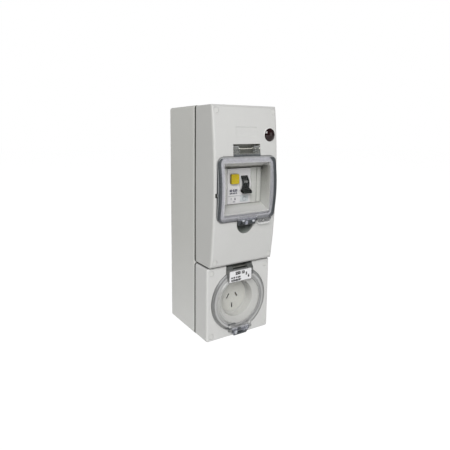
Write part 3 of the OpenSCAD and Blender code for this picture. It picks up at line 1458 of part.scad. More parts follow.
// Round wire along a hand-set route
module wire(route, r) {
    polyhedron(points = [for (i = [0:len(route) - 1]) each wire_ring(route[i], heading(route, i),
        r)], faces = tube_faces(len(route), wire_sides));
}

module active_wire() color("firebrick") upright() wire(active_route, wire_r);

module neutral_wire() color("black") upright() wire(neutral_route, wire_r);

module earth_wire() color("green") upright() wire(earth_route, wire_r);

module lamp_wires() color("firebrick") upright() {
    wire(lamp_route_left, lamp_wire_r);
    wire(lamp_route_right, lamp_wire_r);
}

// Brass bar on which the earth wires meet
module earth_bar() color("goldenrod") upright() difference() {
    block(earth_x - earth_w / 2, earth_x + earth_w / 2, earth_y - earth_l / 2,
        earth_y + earth_l / 2, earth_z, earth_z + earth_t);
    rod(earth_x, earth_y, earth_z - cut, earth_z + earth_t + cut, earth_screw_r + fit_gap);
    for (s = [-1, 1]) {
        rod(earth_x, earth_y + s * earth_l / 3, earth_z + earth_t / 2, earth_z + earth_t + cut,
            earth_screw_r + pin_play);
        translate([earth_x, earth_y + s * earth_l / 3, earth_z + earth_t / 2])
            rotate([0, 90, 0]) cylinder(h = 3 * earth_t, r = wire_r + fit_gap, center = true);
    }
}

// Screws of the earth bar: one to the box, two that clamp wires
module earth_bar_screws() color("silver") upright() {
    translate([earth_x, earth_y, 0])
        pan_screw(earth_z - earth_screw_l, earth_z + earth_t, earth_screw_r - pin_play,
            earth_head_r, earth_head_t);
    for (s = [-1, 1])
        translate([earth_x, earth_y + s * earth_l / 3, 0])
            pan_screw(earth_z + earth_t / 2 + wire_r + 2 * fit_gap, earth_z + earth_t,
                earth_screw_r, earth_head_r, earth_head_t);
}

back_box();
upper_gasket();
lower_gasket();
upper_cover();
lower_cover();
cover_screws();
screw_caps();
conduit_plug();
din_rail();
rail_screws();
earth_bar();
earth_bar_screws();
rcd_base();
rcd_front();
rcd_rivets();
terminal_cages();
terminal_screws();
current_transformer();
trip_relay();
fixed_contacts();
contact_bridge();
rcd_toggle();
test_button();
test_spring();
rail_clip();
blanking_strips();
lamp_lens();
lamp_body();
lamp_nut();
window_flap();
window_seal();
window_hinge_pin();
window_latch();
window_latch_pin();
socket_insert();
socket_contacts();
contact_screws();
insert_screws();
socket_flap();
socket_seal();
socket_hinge_pin();
flap_label();
socket_latch();
socket_latch_pin();
active_wire();
neutral_wire();
earth_wire();
lamp_wires();
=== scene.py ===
"""Looks of a weatherproof wall unit: a residual current device behind a clear window, with a socket
outlet below it."""

import math
from collections import namedtuple

import bmesh
import bpy
from mathutils import Matrix, Vector


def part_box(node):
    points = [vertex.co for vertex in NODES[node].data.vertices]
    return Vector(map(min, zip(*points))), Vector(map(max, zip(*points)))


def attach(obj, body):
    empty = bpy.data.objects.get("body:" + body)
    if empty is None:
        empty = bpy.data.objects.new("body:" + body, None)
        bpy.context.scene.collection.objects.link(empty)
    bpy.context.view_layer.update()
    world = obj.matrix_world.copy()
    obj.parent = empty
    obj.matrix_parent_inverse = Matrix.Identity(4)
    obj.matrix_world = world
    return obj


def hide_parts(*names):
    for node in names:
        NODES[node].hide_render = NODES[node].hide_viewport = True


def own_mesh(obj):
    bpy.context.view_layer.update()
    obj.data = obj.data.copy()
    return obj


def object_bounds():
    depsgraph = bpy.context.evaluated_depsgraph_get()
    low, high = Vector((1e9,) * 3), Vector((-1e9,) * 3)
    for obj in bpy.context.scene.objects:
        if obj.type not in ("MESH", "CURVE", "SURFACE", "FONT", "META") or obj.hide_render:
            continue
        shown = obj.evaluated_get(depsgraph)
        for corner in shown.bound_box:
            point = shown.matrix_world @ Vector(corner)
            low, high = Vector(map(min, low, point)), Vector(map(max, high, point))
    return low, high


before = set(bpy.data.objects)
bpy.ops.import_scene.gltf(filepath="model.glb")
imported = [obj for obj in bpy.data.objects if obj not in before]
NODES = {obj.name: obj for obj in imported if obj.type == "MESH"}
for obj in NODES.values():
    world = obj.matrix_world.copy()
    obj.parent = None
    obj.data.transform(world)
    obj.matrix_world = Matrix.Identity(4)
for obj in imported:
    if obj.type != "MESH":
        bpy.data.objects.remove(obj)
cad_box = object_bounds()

MM = 0.001

# A point on a surface, and a place on a moulding where painted shade and painted light go, both in
# millimetres
Place = namedtuple("Place", "across out up")
Recess = namedtuple("Recess", "centre half corner top floor grime cover shade", defaults=[None])


# Shader building blocks

COLOR, NUMBER, VECTOR = "NodeSocketColor", "NodeSocketFloat", "NodeSocketVector"


def node(tree, kind, **settings):
    """One shader or geometry node with its settings."""
    made = tree.nodes.new(kind)
    for key, value in settings.items():
        setattr(made, key, value)
    return made


def put(owner, name, value):
    """A plain value on a node's named input."""
    owner.inputs[name].default_value = value


def join(tree, source, target):
    """A link from one node's output to another's input."""
    tree.links.new(source, target)


def feed(tree, target, value):
    """An input's value: a link from another node's output, or a plain number or colour."""
    if isinstance(value, bpy.types.NodeSocket):
        join(tree, value, target)
    elif isinstance(value, tuple):
        target.default_value = (*value, 1)
    else:
        target.default_value = value


def new_group(name, inputs, outputs):
    """An empty shader group with named sockets."""
    group = bpy.data.node_groups.new(name, "ShaderNodeTree")
    for label, kind, default in inputs:
        made = group.interface.new_socket(label, in_out="INPUT", socket_type=kind)
        if default is not None:
            made.default_value = default
    for label, kind in outputs:
        group.interface.new_socket(label, in_out="OUTPUT", socket_type=kind)
    return group, node(group, "NodeGroupInput"), node(group, "NodeGroupOutput")


def object_place(tree):
    """Object coordinates in metres."""
    return node(tree, "ShaderNodeTexCoord").outputs["Object"]


def maths(tree, operation, a, b=None, clamp=False):
    """A sum on one or two values; each a socket or a plain number."""
    made = node(tree, "ShaderNodeMath", operation=operation, use_clamp=clamp)
    feed(tree, made.inputs[0], a)
    if b is not None:
        feed(tree, made.inputs[1], b)
    return made.outputs[0]


def hypotenuse(tree, a, b):
    """Length of a diagonal, from its two sides."""
    squares = [maths(tree, "MULTIPLY", side, side) for side in (a, b)]
    return maths(tree, "SQRT", maths(tree, "ADD", *squares))


def noise(tree, place, scale, detail=3.0, rough=0.55):
    """Noise between 0 and 1, with scale in turns per metre."""
    made = node(tree, "ShaderNodeTexNoise")
    put(made, "Detail", detail)
    put(made, "Roughness", rough)
    feed(tree, made.inputs["Scale"], scale)
    join(tree, place, made.inputs["Vector"])
    return made.outputs["Fac"]


def swing(tree, value, reach):
    """Noise turned into a swing about 0."""
    return maths(tree, "MULTIPLY", maths(tree, "SUBTRACT", value, 0.5), reach)


def ramp(tree, value, low, high, at_low, at_high):
    """A straight line from at_low to at_high while the value goes from low to high, level beyond."""
    made = node(tree, "ShaderNodeMapRange")
    for key, number in (("From Min", low), ("From Max", high), ("To Min", at_low), ("To Max", at_high)):
        put(made, key, number)
    join(tree, value, made.inputs["Value"])
    return made.outputs["Result"]


def mix_node(tree, share, under, over, **settings):
    """Result of a Mix node; each value a socket or a plain one."""
    made = node(tree, "ShaderNodeMix", **settings)
    for key, value in (("Factor", share), ("A", under), ("B", over)):
        feed(tree, made.inputs[key], value)
    return made.outputs["Result"]


def tint_mix(tree, share, under, over, kind="MIX"):
    """Colour under where share is 0 and over where it is 1; each a socket or a plain colour."""
    return mix_node(tree, share, under, over, data_type="RGBA", blend_type=kind)


def level_mix(tree, share, under, over):
    """Number under where share is 0 and over where it is 1; each a socket or a plain number."""
    return mix_node(tree, share, under, over, data_type="FLOAT")


def facing(tree, axis):
    """How far a surface faces along an axis, from -1 to 1."""
    split = node(tree, "ShaderNodeSeparateXYZ")
    join(tree, node(tree, "ShaderNodeNewGeometry").outputs["Normal"], split.inputs[0])
    return split.outputs[axis]


# Finishes that several materials share

DUST = (0.52, 0.5, 0.46)
STREAK_SCALE = (60.0, 1500.0, 1500.0)


def make_moulded_skin():
    """Colour drift, spark-eroded grain and handling polish of moulded plastic."""
    group, given, out = new_group(
        "moulded_skin",
        [("Color", COLOR, (0.6, 0.6, 0.6, 1)), ("Drift", NUMBER, 0.05), ("Grain Scale", NUMBER, 1400.0),
         ("Roughness", NUMBER, 0.45), ("Polish", NUMBER, 0.1), ("Dust", NUMBER, 0.04)],
        [("Color", COLOR), ("Roughness", NUMBER), ("Height", NUMBER)])
    place = object_place(group)
    broad = noise(group, place, scale=14.0, detail=2.0)
    fine = noise(group, place, scale=170.0, detail=4.0)
    grain = noise(group, place, given.outputs["Grain Scale"], detail=2.0)
    drift = maths(group, "ADD", swing(group, broad, 1.4), swing(group, fine, 0.6))
    shade = maths(group, "ADD", 1.0, maths(group, "MULTIPLY", drift, given.outputs["Drift"]))
    grey = node(group, "ShaderNodeCombineColor")
    for channel in ("Red", "Green", "Blue"):
        join(group, shade, grey.inputs[channel])
    tinted = tint_mix(group, 1.0, given.outputs["Color"], grey.outputs["Color"], "MULTIPLY")
    up = maths(group, "MAXIMUM", facing(group, "Z"), 0.0)
    lying = maths(group, "MULTIPLY", up, ramp(group, fine, 0.35, 0.7, 0.2, 1.0))
    settled = maths(group, "MULTIPLY", lying, given.outputs["Dust"])
    join(group, tint_mix(group, settled, tinted, DUST), out.inputs["Color"])
    worn = maths(group, "MULTIPLY", ramp(group, broad, 0.35, 0.65, -1.0, 1.0), given.outputs["Polish"])
    rough = maths(group, "ADD", given.outputs["Roughness"], worn)
    join(group, maths(group, "ADD", rough, swing(group, grain, 0.12), clamp=True), out.inputs["Roughness"])
    join(group, grain, out.inputs["Height"])
    return group


def make_edge_wear_and_highlight():
    """Mask of worn edges, which are also painted lighter as a highlight, from how far a rounded normal leans
    from the true one.
    """
    group, given, out = new_group(
        "edge_wear_and_highlight", [("Rounded", VECTOR, None), ("Amount", NUMBER, 0.5)], [("Mask", NUMBER)])
    lean = node(group, "ShaderNodeVectorMath", operation="DOT_PRODUCT")
    join(group, given.outputs["Rounded"], lean.inputs[0])
    join(group, node(group, "ShaderNodeNewGeometry").outputs["Normal"], lean.inputs[1])
    edge = ramp(group, lean.outputs["Value"], 0.99, 0.8, 0.0, 1.0)
    patches = noise(group, object_place(group), scale=260.0, detail=5.0)
    broken = maths(group, "MULTIPLY", edge, ramp(group, patches, 0.4, 0.62, 0.35, 1.0))
    join(group, maths(group, "MULTIPLY", broken, given.outputs["Amount"], clamp=True), out.inputs["Mask"])
    return group


def make_drawn_metal():
    """Drawn or turned metal: streaks along one axis and dull spots."""
    group, given, out = new_group(
        "drawn_metal",
        [("Color", COLOR, (0.6, 0.6, 0.6, 1)), ("Dull", COLOR, (0.4, 0.4, 0.38, 1)),
         ("Roughness", NUMBER, 0.3)],
        [("Color", COLOR), ("Roughness", NUMBER), ("Height", NUMBER)])
    place = object_place(group)
    stretch = node(group, "ShaderNodeMapping")
    put(stretch, "Scale", STREAK_SCALE)
    join(group, place, stretch.inputs["Vector"])
    streak = noise(group, stretch.outputs["Vector"], scale=1.0)
    spots = ramp(group, noise(group, place, scale=320.0, detail=4.0), 0.5, 0.72, 0.0, 1.0)
    join(group, tint_mix(group, spots, given.outputs["Color"], given.outputs["Dull"]), out.inputs["Color"])
    rough = maths(group, "ADD", given.outputs["Roughness"], swing(group, streak, 0.2))
    spotted = maths(group, "ADD", rough, maths(group, "MULTIPLY", spots, 0.18), clamp=True)
    join(group, spotted, out.inputs["Roughness"])
    join(group, streak, out.inputs["Height"])
    return group


MOULDED_SKIN = make_moulded_skin()
EDGE_WEAR_AND_HIGHLIGHT = make_edge_wear_and_highlight()
DRAWN_METAL = make_drawn_metal()


# Materials, kept by the names given here, because model.glb brings some of its own

PALETTE = {}
BEVEL_SAMPLES = 6
# How much lighter edges are painted, as wear and as a highlight
RUB_AND_HIGHLIGHT_LIFT = 1.12
RECESS_BLUR, MARK_BLUR = 0.4, 0.25


def blank(name):
    """A new material in the palette, with one shader on its surface."""
    material = PALETTE[name] = bpy.data.materials.new(name)
    material.use_nodes = True
    tree = material.node_tree
    tree.nodes.clear()
    shader = node(tree, "ShaderNodeBsdfPrincipled")
    join(tree, shader.outputs[0], node(tree, "ShaderNodeOutputMaterial", name="surface").inputs["Surface"])
    return tree, shader


def use_group(tree, group, **values):
    """A group placed in a material, with its own values."""
    made = node(tree, "ShaderNodeGroup", node_tree=group)
    for key, value in values.items():
        put(made, key.replace("_", " "), value)
    return made


def bumped(tree, shader, height, strength, distance, normal=None):
    """Fine relief on a shader; distance in metres."""
    bump = node(tree, "ShaderNodeBump")
    put(bump, "Strength", strength)
    put(bump, "Distance", distance)
    join(tree, height, bump.inputs["Height"])
    if normal is not None:
        join(tree, normal, bump.inputs["Normal"])
    join(tree, bump.outputs["Normal"], shader.inputs["Normal"])


def millimetres(tree):
    """Object coordinates in millimetres: across, out of the wall and up."""
    scaled = node(tree, "ShaderNodeVectorMath", operation="SCALE")
    join(tree, object_place(tree), scaled.inputs[0])
    put(scaled, "Scale", 1 / MM)
    split = node(tree, "ShaderNodeSeparateXYZ")
    join(tree, scaled.outputs[0], split.inputs[0])
    return Place(split.outputs["X"], maths(tree, "MULTIPLY", split.outputs["Y"], -1.0), split.outputs["Z"])


def inside_block(tree, place, centre, half, corner):
    """How far a point lies inside a rounded rectangle in the face plane; millimetres."""
    past = []
    for value, middle, reach in zip((place.across, place.up), centre, half):
        offset = maths(tree, "ABSOLUTE", maths(tree, "SUBTRACT", value, middle))
        past.append(maths(tree, "SUBTRACT", offset, reach - corner))
    bend = hypotenuse(tree, *[maths(tree, "MAXIMUM", side, 0.0) for side in past])
    flat = maths(tree, "MINIMUM", maths(tree, "MAXIMUM", *past), 0.0)
    return maths(tree, "SUBTRACT", corner, maths(tree, "ADD", bend, flat))


def inside_round(tree, place, centre, radius):
    """How far a point lies inside a circle in the face plane; millimetres."""
    offset = [maths(tree, "SUBTRACT", value, middle)
              for value, middle in zip((place.across, place.up), centre)]
    return maths(tree, "SUBTRACT", radius, hypotenuse(tree, *offset))


def moulded(name, color, rough, drift=0.05, grain=1400.0, grain_depth=0.00003, polish=0.06, dust=0.05,
            rub_and_highlight=0.4, rub_and_highlight_color=None, radius=0.0006, gloss=0.5, side_shade=None, recesses=()):
    """Moulded plastic with softened, lightly worn edges that are also painted lighter as a highlight, painted
    shade on faces that look sideways, and painted shade and painted light at listed places.
    """
    tree, shader = blank(name)
    skin = use_group(tree, MOULDED_SKIN, Color=(*color, 1), Drift=drift, Grain_Scale=grain, Roughness=rough,
                     Polish=polish, Dust=dust)
    rounded = node(tree, "ShaderNodeBevel", samples=BEVEL_SAMPLES)
    put(rounded, "Radius", radius)
    edges = use_group(tree, EDGE_WEAR_AND_HIGHLIGHT, Amount=rub_and_highlight)
    join(tree, rounded.outputs["Normal"], edges.inputs["Rounded"])
    # Painted highlight and wear: edges are painted lighter
    edge_wear_and_light = rub_and_highlight_color or tuple(min(1.0, c * RUB_AND_HIGHLIGHT_LIFT) for c in color)
    paint = tint_mix(tree, edges.outputs["Mask"], skin.outputs["Color"], edge_wear_and_light)
    # Painted shade: faces that look sideways are painted darker than the front
    if side_shade:
        sideways = ramp(tree, maths(tree, "ABSOLUTE", facing(tree, "X")), 0.5, 0.95, 0.0, 1.0)
        paint = tint_mix(tree, sideways, paint, side_shade)
    place = millimetres(tree)
    # Painted shade in recesses, slots and gaps, and painted light where a listed place is lighter
    for recess in recesses:
        grime = recess.grime
        if recess.shade:
            low, high, dark = recess.shade
            grime = tint_mix(tree, ramp(tree, place.up, low, high, 0.0, 1.0), grime, dark)
        inward = inside_block(tree, place, recess.centre, recess.half, recess.corner)
        within = ramp(tree, inward, -RECESS_BLUR, RECESS_BLUR, 0.0, recess.cover)
        sunk = ramp(tree, place.out, recess.top, recess.floor, 0.0, 1.0)
        paint = tint_mix(tree, maths(tree, "MULTIPLY", within, sunk), paint, grime)
    join(tree, paint, shader.inputs["Base Color"])
    join(tree, skin.outputs["Roughness"], shader.inputs["Roughness"])
    put(shader, "Specular IOR Level", gloss)
    bumped(tree, shader, skin.outputs["Height"], strength=0.5, distance=grain_depth,
           normal=rounded.outputs["Normal"])


def printed(name, color, drift=0.3):
    """Thin print, dull and a little uneven."""
    moulded(name, color, rough=0.5, drift=drift, rub_and_highlight=0.0, radius=0.0001)


def insulation(name, color, drift=0.2):
    """Smooth sleeve of a wire."""
    moulded(name, color, rough=0.35, drift=drift, rub_and_highlight=0.0)


def metal(name, color, dull, rough):
    """Bare metal with drawing marks and dull spots."""
    tree, shader = blank(name)
    skin = use_group(tree, DRAWN_METAL, Color=(*color, 1), Dull=(*dull, 1), Roughness=rough)
    join(tree, skin.outputs["Color"], shader.inputs["Base Color"])
    join(tree, skin.outputs["Roughness"], shader.inputs["Roughness"])
    put(shader, "Metallic", 1.0)
    bumped(tree, shader, skin.outputs["Height"], strength=0.3, distance=0.00002)


def lens(name, color, deep):
    """Polished lens over a dark lamp, with a faint cloud inside."""
    tree, shader = blank(name)
    place = object_place(tree)
    join(tree, tint_mix(tree, noise(tree, place, scale=220.0), deep, color), shader.inputs["Base Color"])
    join(tree, ramp(tree, noise(tree, place, scale=400.0), 0.3, 0.8, 0.03, 0.07), shader.inputs["Roughness"])
    put(shader, "Specular IOR Level", 0.3)
    put(shader, "Coat Weight", 0.5)
    put(shader, "Coat Roughness", 0.03)


# Clear pieces: a haze of some colour and cover lies over the clear plastic, and much of it is painted shade
# and painted highlight

# Painted shade along the clear walls and edges, on the latches and by the latch's ears
PAINTED_DARK = (0.06, 0.068, 0.075)
MILK = (0.63, 0.63, 0.68)
# Painted highlight on faces that look upwards
TOP_HIGHLIGHT = (0.62, 0.63, 0.64)
# Painted shade along the window flap's lower border and in its lug
FOOT_SHADE = (0.13, 0.135, 0.145)
# Painted shade: a dark ring at the disc's edge
RING_SHADE = (0.30, 0.305, 0.30)
# Painted highlight: a light ring on the disc and a light lower edge on the lug
PAINTED_HIGHLIGHT = (0.74, 0.74, 0.73)
PEARL = (0.52, 0.52, 0.51)
# Painted highlight: the light line on the window flap's side wall
WALL_HIGHLIGHT = (0.45, 0.46, 0.47)
LAVENDER = (0.42, 0.43, 0.50)
ARM = (0.24, 0.25, 0.24)
# Painted shade over the socket flap's hinge and the sides of its tab
HINGE_SHADE = (0.12, 0.125, 0.12)
# Painted shadow under the window latch
PAINTED_SHADOW = (0.015, 0.018, 0.02)
# Painted glints on the latches
PAINTED_GLINT = (0.72, 0.74, 0.78)
SHADOW = (0.3, 0.3, 0.3)
# Cover of the painted highlight on upward faces
TOP_HIGHLIGHT_COVER = 0.55

# Added to a depth inside an outline, so that the places just outside it stay above 0; millimetres
OUTSIDE = 8.0
WALL_START, WALL_END = (OUTSIDE - 1.0, OUTSIDE - 0.6), (OUTSIDE + 0.25, OUTSIDE + 0.6)

FLAP_CENTRE, FLAP_HALF, FLAP_CORNER = (0.0, 49.0), (44.0, 40.0), 9.0
FLAP_FRONT, FLAP_BOW = 115.5, 345.0
LEFT_SIDE, LEFT_LAG = (-36.0, -41.0), 1.8
RIGHT_SIDE, RIGHT_LAG = (33.5, 38.0), 6.0
SOCKET_CENTRE, DISC_RADIUS = (0.0, -100.85), 42.5
TAB_CENTRE, TAB_HALF, TAB_CORNER = (0.0, -64.0), (20.1, 9.6), 0.5
LATCH_HALF = 14.2


def flap_edge(tree, place):
    """Depth inside the window flap's outline, drawn out at its sides, where the wall shows through."""
    inward = inside_block(tree, place, FLAP_CENTRE, FLAP_HALF, FLAP_CORNER)
    left = ramp(tree, place.across, *LEFT_SIDE, 0.0, LEFT_LAG)
    right = maths(tree, "MULTIPLY", ramp(tree, place.across, *RIGHT_SIDE, 0.0, RIGHT_LAG),
                  ramp(tree, inward, -1.0, -0.6, 0.0, 1.0))
    lag = maths(tree, "MAXIMUM", left, right)
    creep = maths(tree, "MULTIPLY", inward, ramp(tree, right, 0.0, RIGHT_LAG, 0.3, 0.15))
    slow = maths(tree, "MAXIMUM", creep, maths(tree, "SUBTRACT", inward, lag))
    past_wall = ramp(tree, right, 0.0, RIGHT_LAG, -OUTSIDE, 0.7)
    return maths(tree, "ADD", maths(tree, "MAXIMUM", slow, past_wall), OUTSIDE)


def flap_depth(tree, place):
    """Depth behind the window flap's bowed front."""
    up = maths(tree, "SUBTRACT", place.up, FLAP_CENTRE[1])
    bow = maths(tree, "DIVIDE", maths(tree, "MULTIPLY", up, up), FLAP_BOW)
    return maths(tree, "SUBTRACT", maths(tree, "SUBTRACT", FLAP_FRONT, bow), place.out)


def disc_edge(tree, place):
    """Depth inside the outline of the socket flap's disc and tab."""
    disc = inside_round(tree, place, SOCKET_CENTRE, DISC_RADIUS)
    tab = inside_block(tree, place, TAB_CENTRE, TAB_HALF, TAB_CORNER)
    return maths(tree, "ADD", maths(tree, "MAXIMUM", disc, tab), OUTSIDE)


def latch_edge(tree, place):
    """Depth inside the two sides of a latch."""
    return maths(tree, "SUBTRACT", LATCH_HALF, maths(tree, "ABSOLUTE", place.across))


def past_edge(*stops):
    """Stops by their distance inside an outline, on the scale of flap_edge and disc_edge."""
    return [(OUTSIDE + distance, color, cover) for distance, color, cover in stops]


def banded(tree, value, span, stops):
    """Haze that changes with a distance; stops are (millimetres, colour, cover)."""
    made = node(tree, "ShaderNodeValToRGB")
    steps = made.color_ramp.elements
    while len(steps) < len(stops):
        steps.new(0.5)
    for step, (distance, color, cover) in zip(steps, stops):
        step.position = distance / span
        step.color = (*color, cover)
    join(tree, maths(tree, "DIVIDE", value, span, clamp=True), made.inputs[0])
    return made.outputs["Color"], made.outputs["Alpha"]


def overlaid(tree, share, haze, color, cover):
    """One haze with another over it."""
    return tint_mix(tree, share, haze[0], color), level_mix(tree, share, haze[1], cover)


def hazed(tree, place, inward, span, stops, marks, foot_shade, wall):
    """Colour and cover of the haze on a clear piece, from its edges, walls, lower border, upward faces and
    marks; much of it is painted shade and painted highlight.
    """
    haze = banded(tree, inward, span, stops)
    # Painted shade and painted highlight in lines along a side wall
    if wall:
        wall_depth, wall_span, wall_stops = wall
        at_wall = maths(tree, "MULTIPLY", ramp(tree, inward, *WALL_END, 1.0, 0.0),
                        ramp(tree, inward, *WALL_START, 0.0, 1.0))
        haze = overlaid(tree, at_wall, haze, *banded(tree, wall_depth(tree, place), wall_span, wall_stops))
    # Painted shade along the lower border
    if foot_shade:
        low, high, foot_shade_color, foot_shade_cover = foot_shade
        mask = maths(tree, "MULTIPLY", ramp(tree, place.up, low, high, 1.0, 0.0), foot_shade_cover)
        haze = tint_mix(tree, mask, haze[0], foot_shade_color), maths(tree, "MAXIMUM", haze[1], mask)
    # Painted highlight on faces that look upwards
    top_highlight = ramp(tree, facing(tree, "Z"), 0.4, 0.85, 0.0, 1.0)
    haze = overlaid(tree, top_highlight, haze, TOP_HIGHLIGHT, TOP_HIGHLIGHT_COVER)
    # Painted shade, shadow and highlights at listed places
    for centre, half, corner, color, cover in marks:
        depth = inside_block(tree, place, centre, half, corner)
        haze = overlaid(tree, ramp(tree, depth, -MARK_BLUR, MARK_BLUR, 0.0, 1.0), haze, color, cover)
    return haze


def clear(name, tint, edge, span, stops, marks, foot_shade=None, wall=None, frost=None, rough=0.03, bend=1.4):
    """Clear polycarbonate: painted shade along its walls, hazy over its frame, with painted highlights, and
    finely scuffed.
    """
    tree, shader = blank(name)
    texture_place = object_place(tree)
    place = millimetres(tree)
    inward = edge(tree, place)
    color, cover = hazed(tree, place, inward, span, stops, marks, foot_shade, wall)

    scuff = noise(tree, texture_place, scale=90.0, detail=5.0, rough=0.65)
    put(shader, "Base Color", (*tint, 1))
    put(shader, "Transmission Weight", 1.0)
    put(shader, "IOR", bend)
    dull = ramp(tree, scuff, 0.45, 0.8, rough, rough + 0.08)
    if frost:
        dull = maths(tree, "ADD", dull, ramp(tree, inward, *frost))
    join(tree, dull, shader.inputs["Roughness"])
    ripple = noise(tree, texture_place, scale=45.0, detail=2.0)
    bumped(tree, shader, ripple, strength=0.15, distance=0.00004)

    film = node(tree, "ShaderNodeBsdfPrincipled")
    join(tree, color, film.inputs["Base Color"])
    join(tree, ramp(tree, scuff, 0.3, 0.8, 0.25, 0.45), film.inputs["Roughness"])
    speckle = ramp(tree, noise(tree, texture_place, scale=320.0), 0.3, 0.7, 0.85, 1.1)
    speckled = maths(tree, "MULTIPLY", cover, speckle, clamp=True)
    filmed = node(tree, "ShaderNodeMixShader")
    join(tree, speckled, filmed.inputs[0])
    join(tree, shader.outputs[0], filmed.inputs[1])
    join(tree, film.outputs[0], filmed.inputs[2])

    # Shadow and diffuse rays pass straight through, so that what lies behind stays lit
    through = node(tree, "ShaderNodeBsdfTransparent")
    join(tree, tint_mix(tree, speckled, tint, SHADOW), through.inputs["Color"])
    path = node(tree, "ShaderNodeLightPath")
    passing = maths(tree, "MAXIMUM", path.outputs["Is Shadow Ray"], path.outputs["Is Diffuse Ray"])
    both = node(tree, "ShaderNodeMixShader")
    join(tree, passing, both.inputs[0])
    join(tree, filmed.outputs[0], both.inputs[1])
    join(tree, through.outputs[0], both.inputs[2])
    join(tree, both.outputs[0], tree.nodes["surface"].inputs["Surface"])


# Haze bands: the dark bands at the edges, the light and dark lines on the window flap's side wall and the
# disc's dark and light rings are painted shade and painted highlight
WINDOW_HAZE_AND_SHADE = past_edge((-OUTSIDE, ARM, 0.3), (-0.6, ARM, 0.35), (0.0, PAINTED_DARK, 0.92), (0.9, PAINTED_DARK, 0.85),
                        (1.6, MILK, 0.35), (2.6, MILK, 0.5), (6.6, MILK, 0.45), (8.0, MILK, 0.0))
WINDOW_WALL_SHADE = [(0.0, PAINTED_DARK, 0.85), (2.4, PAINTED_DARK, 0.9), (2.9, WALL_HIGHLIGHT, 0.7), (4.3, WALL_HIGHLIGHT, 0.7), (4.8, PAINTED_DARK, 0.85),
               (9.0, PAINTED_DARK, 0.85)]
DISC_HAZE_AND_LIGHT = past_edge((-OUTSIDE, ARM, 0.3), (-0.6, ARM, 0.3), (0.0, RING_SHADE, 0.5), (2.6, RING_SHADE, 0.44),
                      (3.6, PAINTED_HIGHLIGHT, 0.7), (5.0, PAINTED_HIGHLIGHT, 0.7), (6.0, PEARL, 0.45), (8.6, PEARL, 0.4),
                      (10.0, PEARL, 0.14), (12.5, PEARL, 0.05))
LATCH_HAZE_AND_SHADE = [(0.0, PAINTED_DARK, 0.4), (1.2, LAVENDER, 0.2), (8.0, LAVENDER, 0.28)]

# Painted shade, shadow and highlights in the clear pieces: centre, half size, corner, colour and cover
# Latches: painted shadow under and in them, and painted glints
LEVER_SHADE_AND_GLINTS = (
    ((0.0, 6.2), (12.8, 3.3), 1.0, PAINTED_DARK, 0.85),
    ((0.0, 4.2), (12.6, 1.0), 0.5, PAINTED_SHADOW, 0.8),
    ((-9.6, 7.4), (1.5, 2.4), 0.8, PAINTED_SHADOW, 0.8),
    ((-6.7, 9.5), (1.7, 1.2), 1.0, PAINTED_GLINT, 0.85),
    ((9.1, 8.1), (1.9, 1.2), 1.0, PAINTED_GLINT, 0.85),
    ((-1.4, 6.6), (1.9, 2.5), 1.2, LAVENDER, 0.8),
    ((2.5, -146.9), (12.0, 2.1), 1.0, PAINTED_DARK, 0.85),
    ((-12.4, -142.2), (1.7, 1.8), 1.2, PAINTED_DARK, 0.9),
    ((-6.8, -144.6), (1.9, 2.6), 1.4, PAINTED_GLINT, 0.6),
    ((-2.2, -140.0), (2.8, 2.0), 0.6, PAINTED_DARK, 0.9))
# Lug: a painted highlight on its lower edge and painted shade inside
LUG_HIGHLIGHT_AND_SHADE = (
    ((27.0, 5.6), (11.1, 3.7), 3.2, PAINTED_HIGHLIGHT, 0.8),
    ((27.0, 7.2), (10.2, 2.9), 2.6, FOOT_SHADE, 0.3))
# Socket flap: painted shade over its hinge, the sides of its tab and by the latch's ears
DISC_SHADE = (
    ((0.0, -55.4), (20.5, 3.4), 0.5, HINGE_SHADE, 0.8),
    ((-18.9, -65.0), (1.4, 7.5), 0.5, HINGE_SHADE, 0.6),
    ((18.9, -62.0), (1.2, 6.0), 0.5, HINGE_SHADE, 0.6),
    ((-12.5, -132.4), (6.0, 1.2), 1.1, PAINTED_DARK, 0.55),
    ((-18.8, -137.3), (4.6, 1.0), 0.9, PAINTED_DARK, 0.65))


# Painted shade and light on the mouldings: centre, half size and corner, the depths where the painted colour
# starts and is full, and its colour; shade is two heights, and the colour that the painted colour has changed
# to at the second

ANY_DEPTH = {"top": 200.0, "floor": 199.0}
SCOOP_OUTLINE = ((0.0, 4.0), (13.6, 14.4), 13.5)
# Painted shade on the walls of the window's well, darker towards its top
WELL = Recess((0.0, 50.5), (38.5, 26.0), 2.0, top=114.0, floor=102.0, grime=(0.55, 0.555, 0.53), cover=0.88,
              shade=(26.0, 73.0, (0.13, 0.13, 0.105)))
# Painted shade in the socket's well, darker towards its upper part
PLUG_WELL = Recess(SOCKET_CENTRE, (35.5, 35.5), 35.4, top=95.5, floor=82.0, grime=(0.58, 0.58, 0.56),
                   cover=0.75, shade=(-112.0, -80.0, (0.25, 0.25, 0.235)))
# Painted shade in the socket's slots
SLOTS = Recess(SOCKET_CENTRE, (25.0, 25.0), 2.0, top=80.2, floor=79.4, grime=(0.02, 0.02, 0.02), cover=0.95)
# Painted shade in the hinge pockets of the two covers
POCKET = Recess((0.0, 96.5), (21.5, 8.0), 0.5, top=107.6, floor=102.5, grime=(0.14, 0.145, 0.115), cover=0.8)
NOTCH = Recess((0.0, -54.5), (20.9, 6.0), 0.5, top=96.6, floor=93.5, grime=(0.085, 0.09, 0.075), cover=0.9)
# Painted shadow in the finger scoop under the window latch, darkest at its top
SCOOP_WALL = Recess(*SCOOP_OUTLINE, top=106.7, floor=106.2, grime=(0.19, 0.20, 0.188), cover=0.85)
SCOOP = Recess(*SCOOP_OUTLINE, top=106.5, floor=103.5, grime=(0.21, 0.23, 0.21), cover=0.95,
               shade=(-8.0, 0.3, (0.026, 0.032, 0.028)))
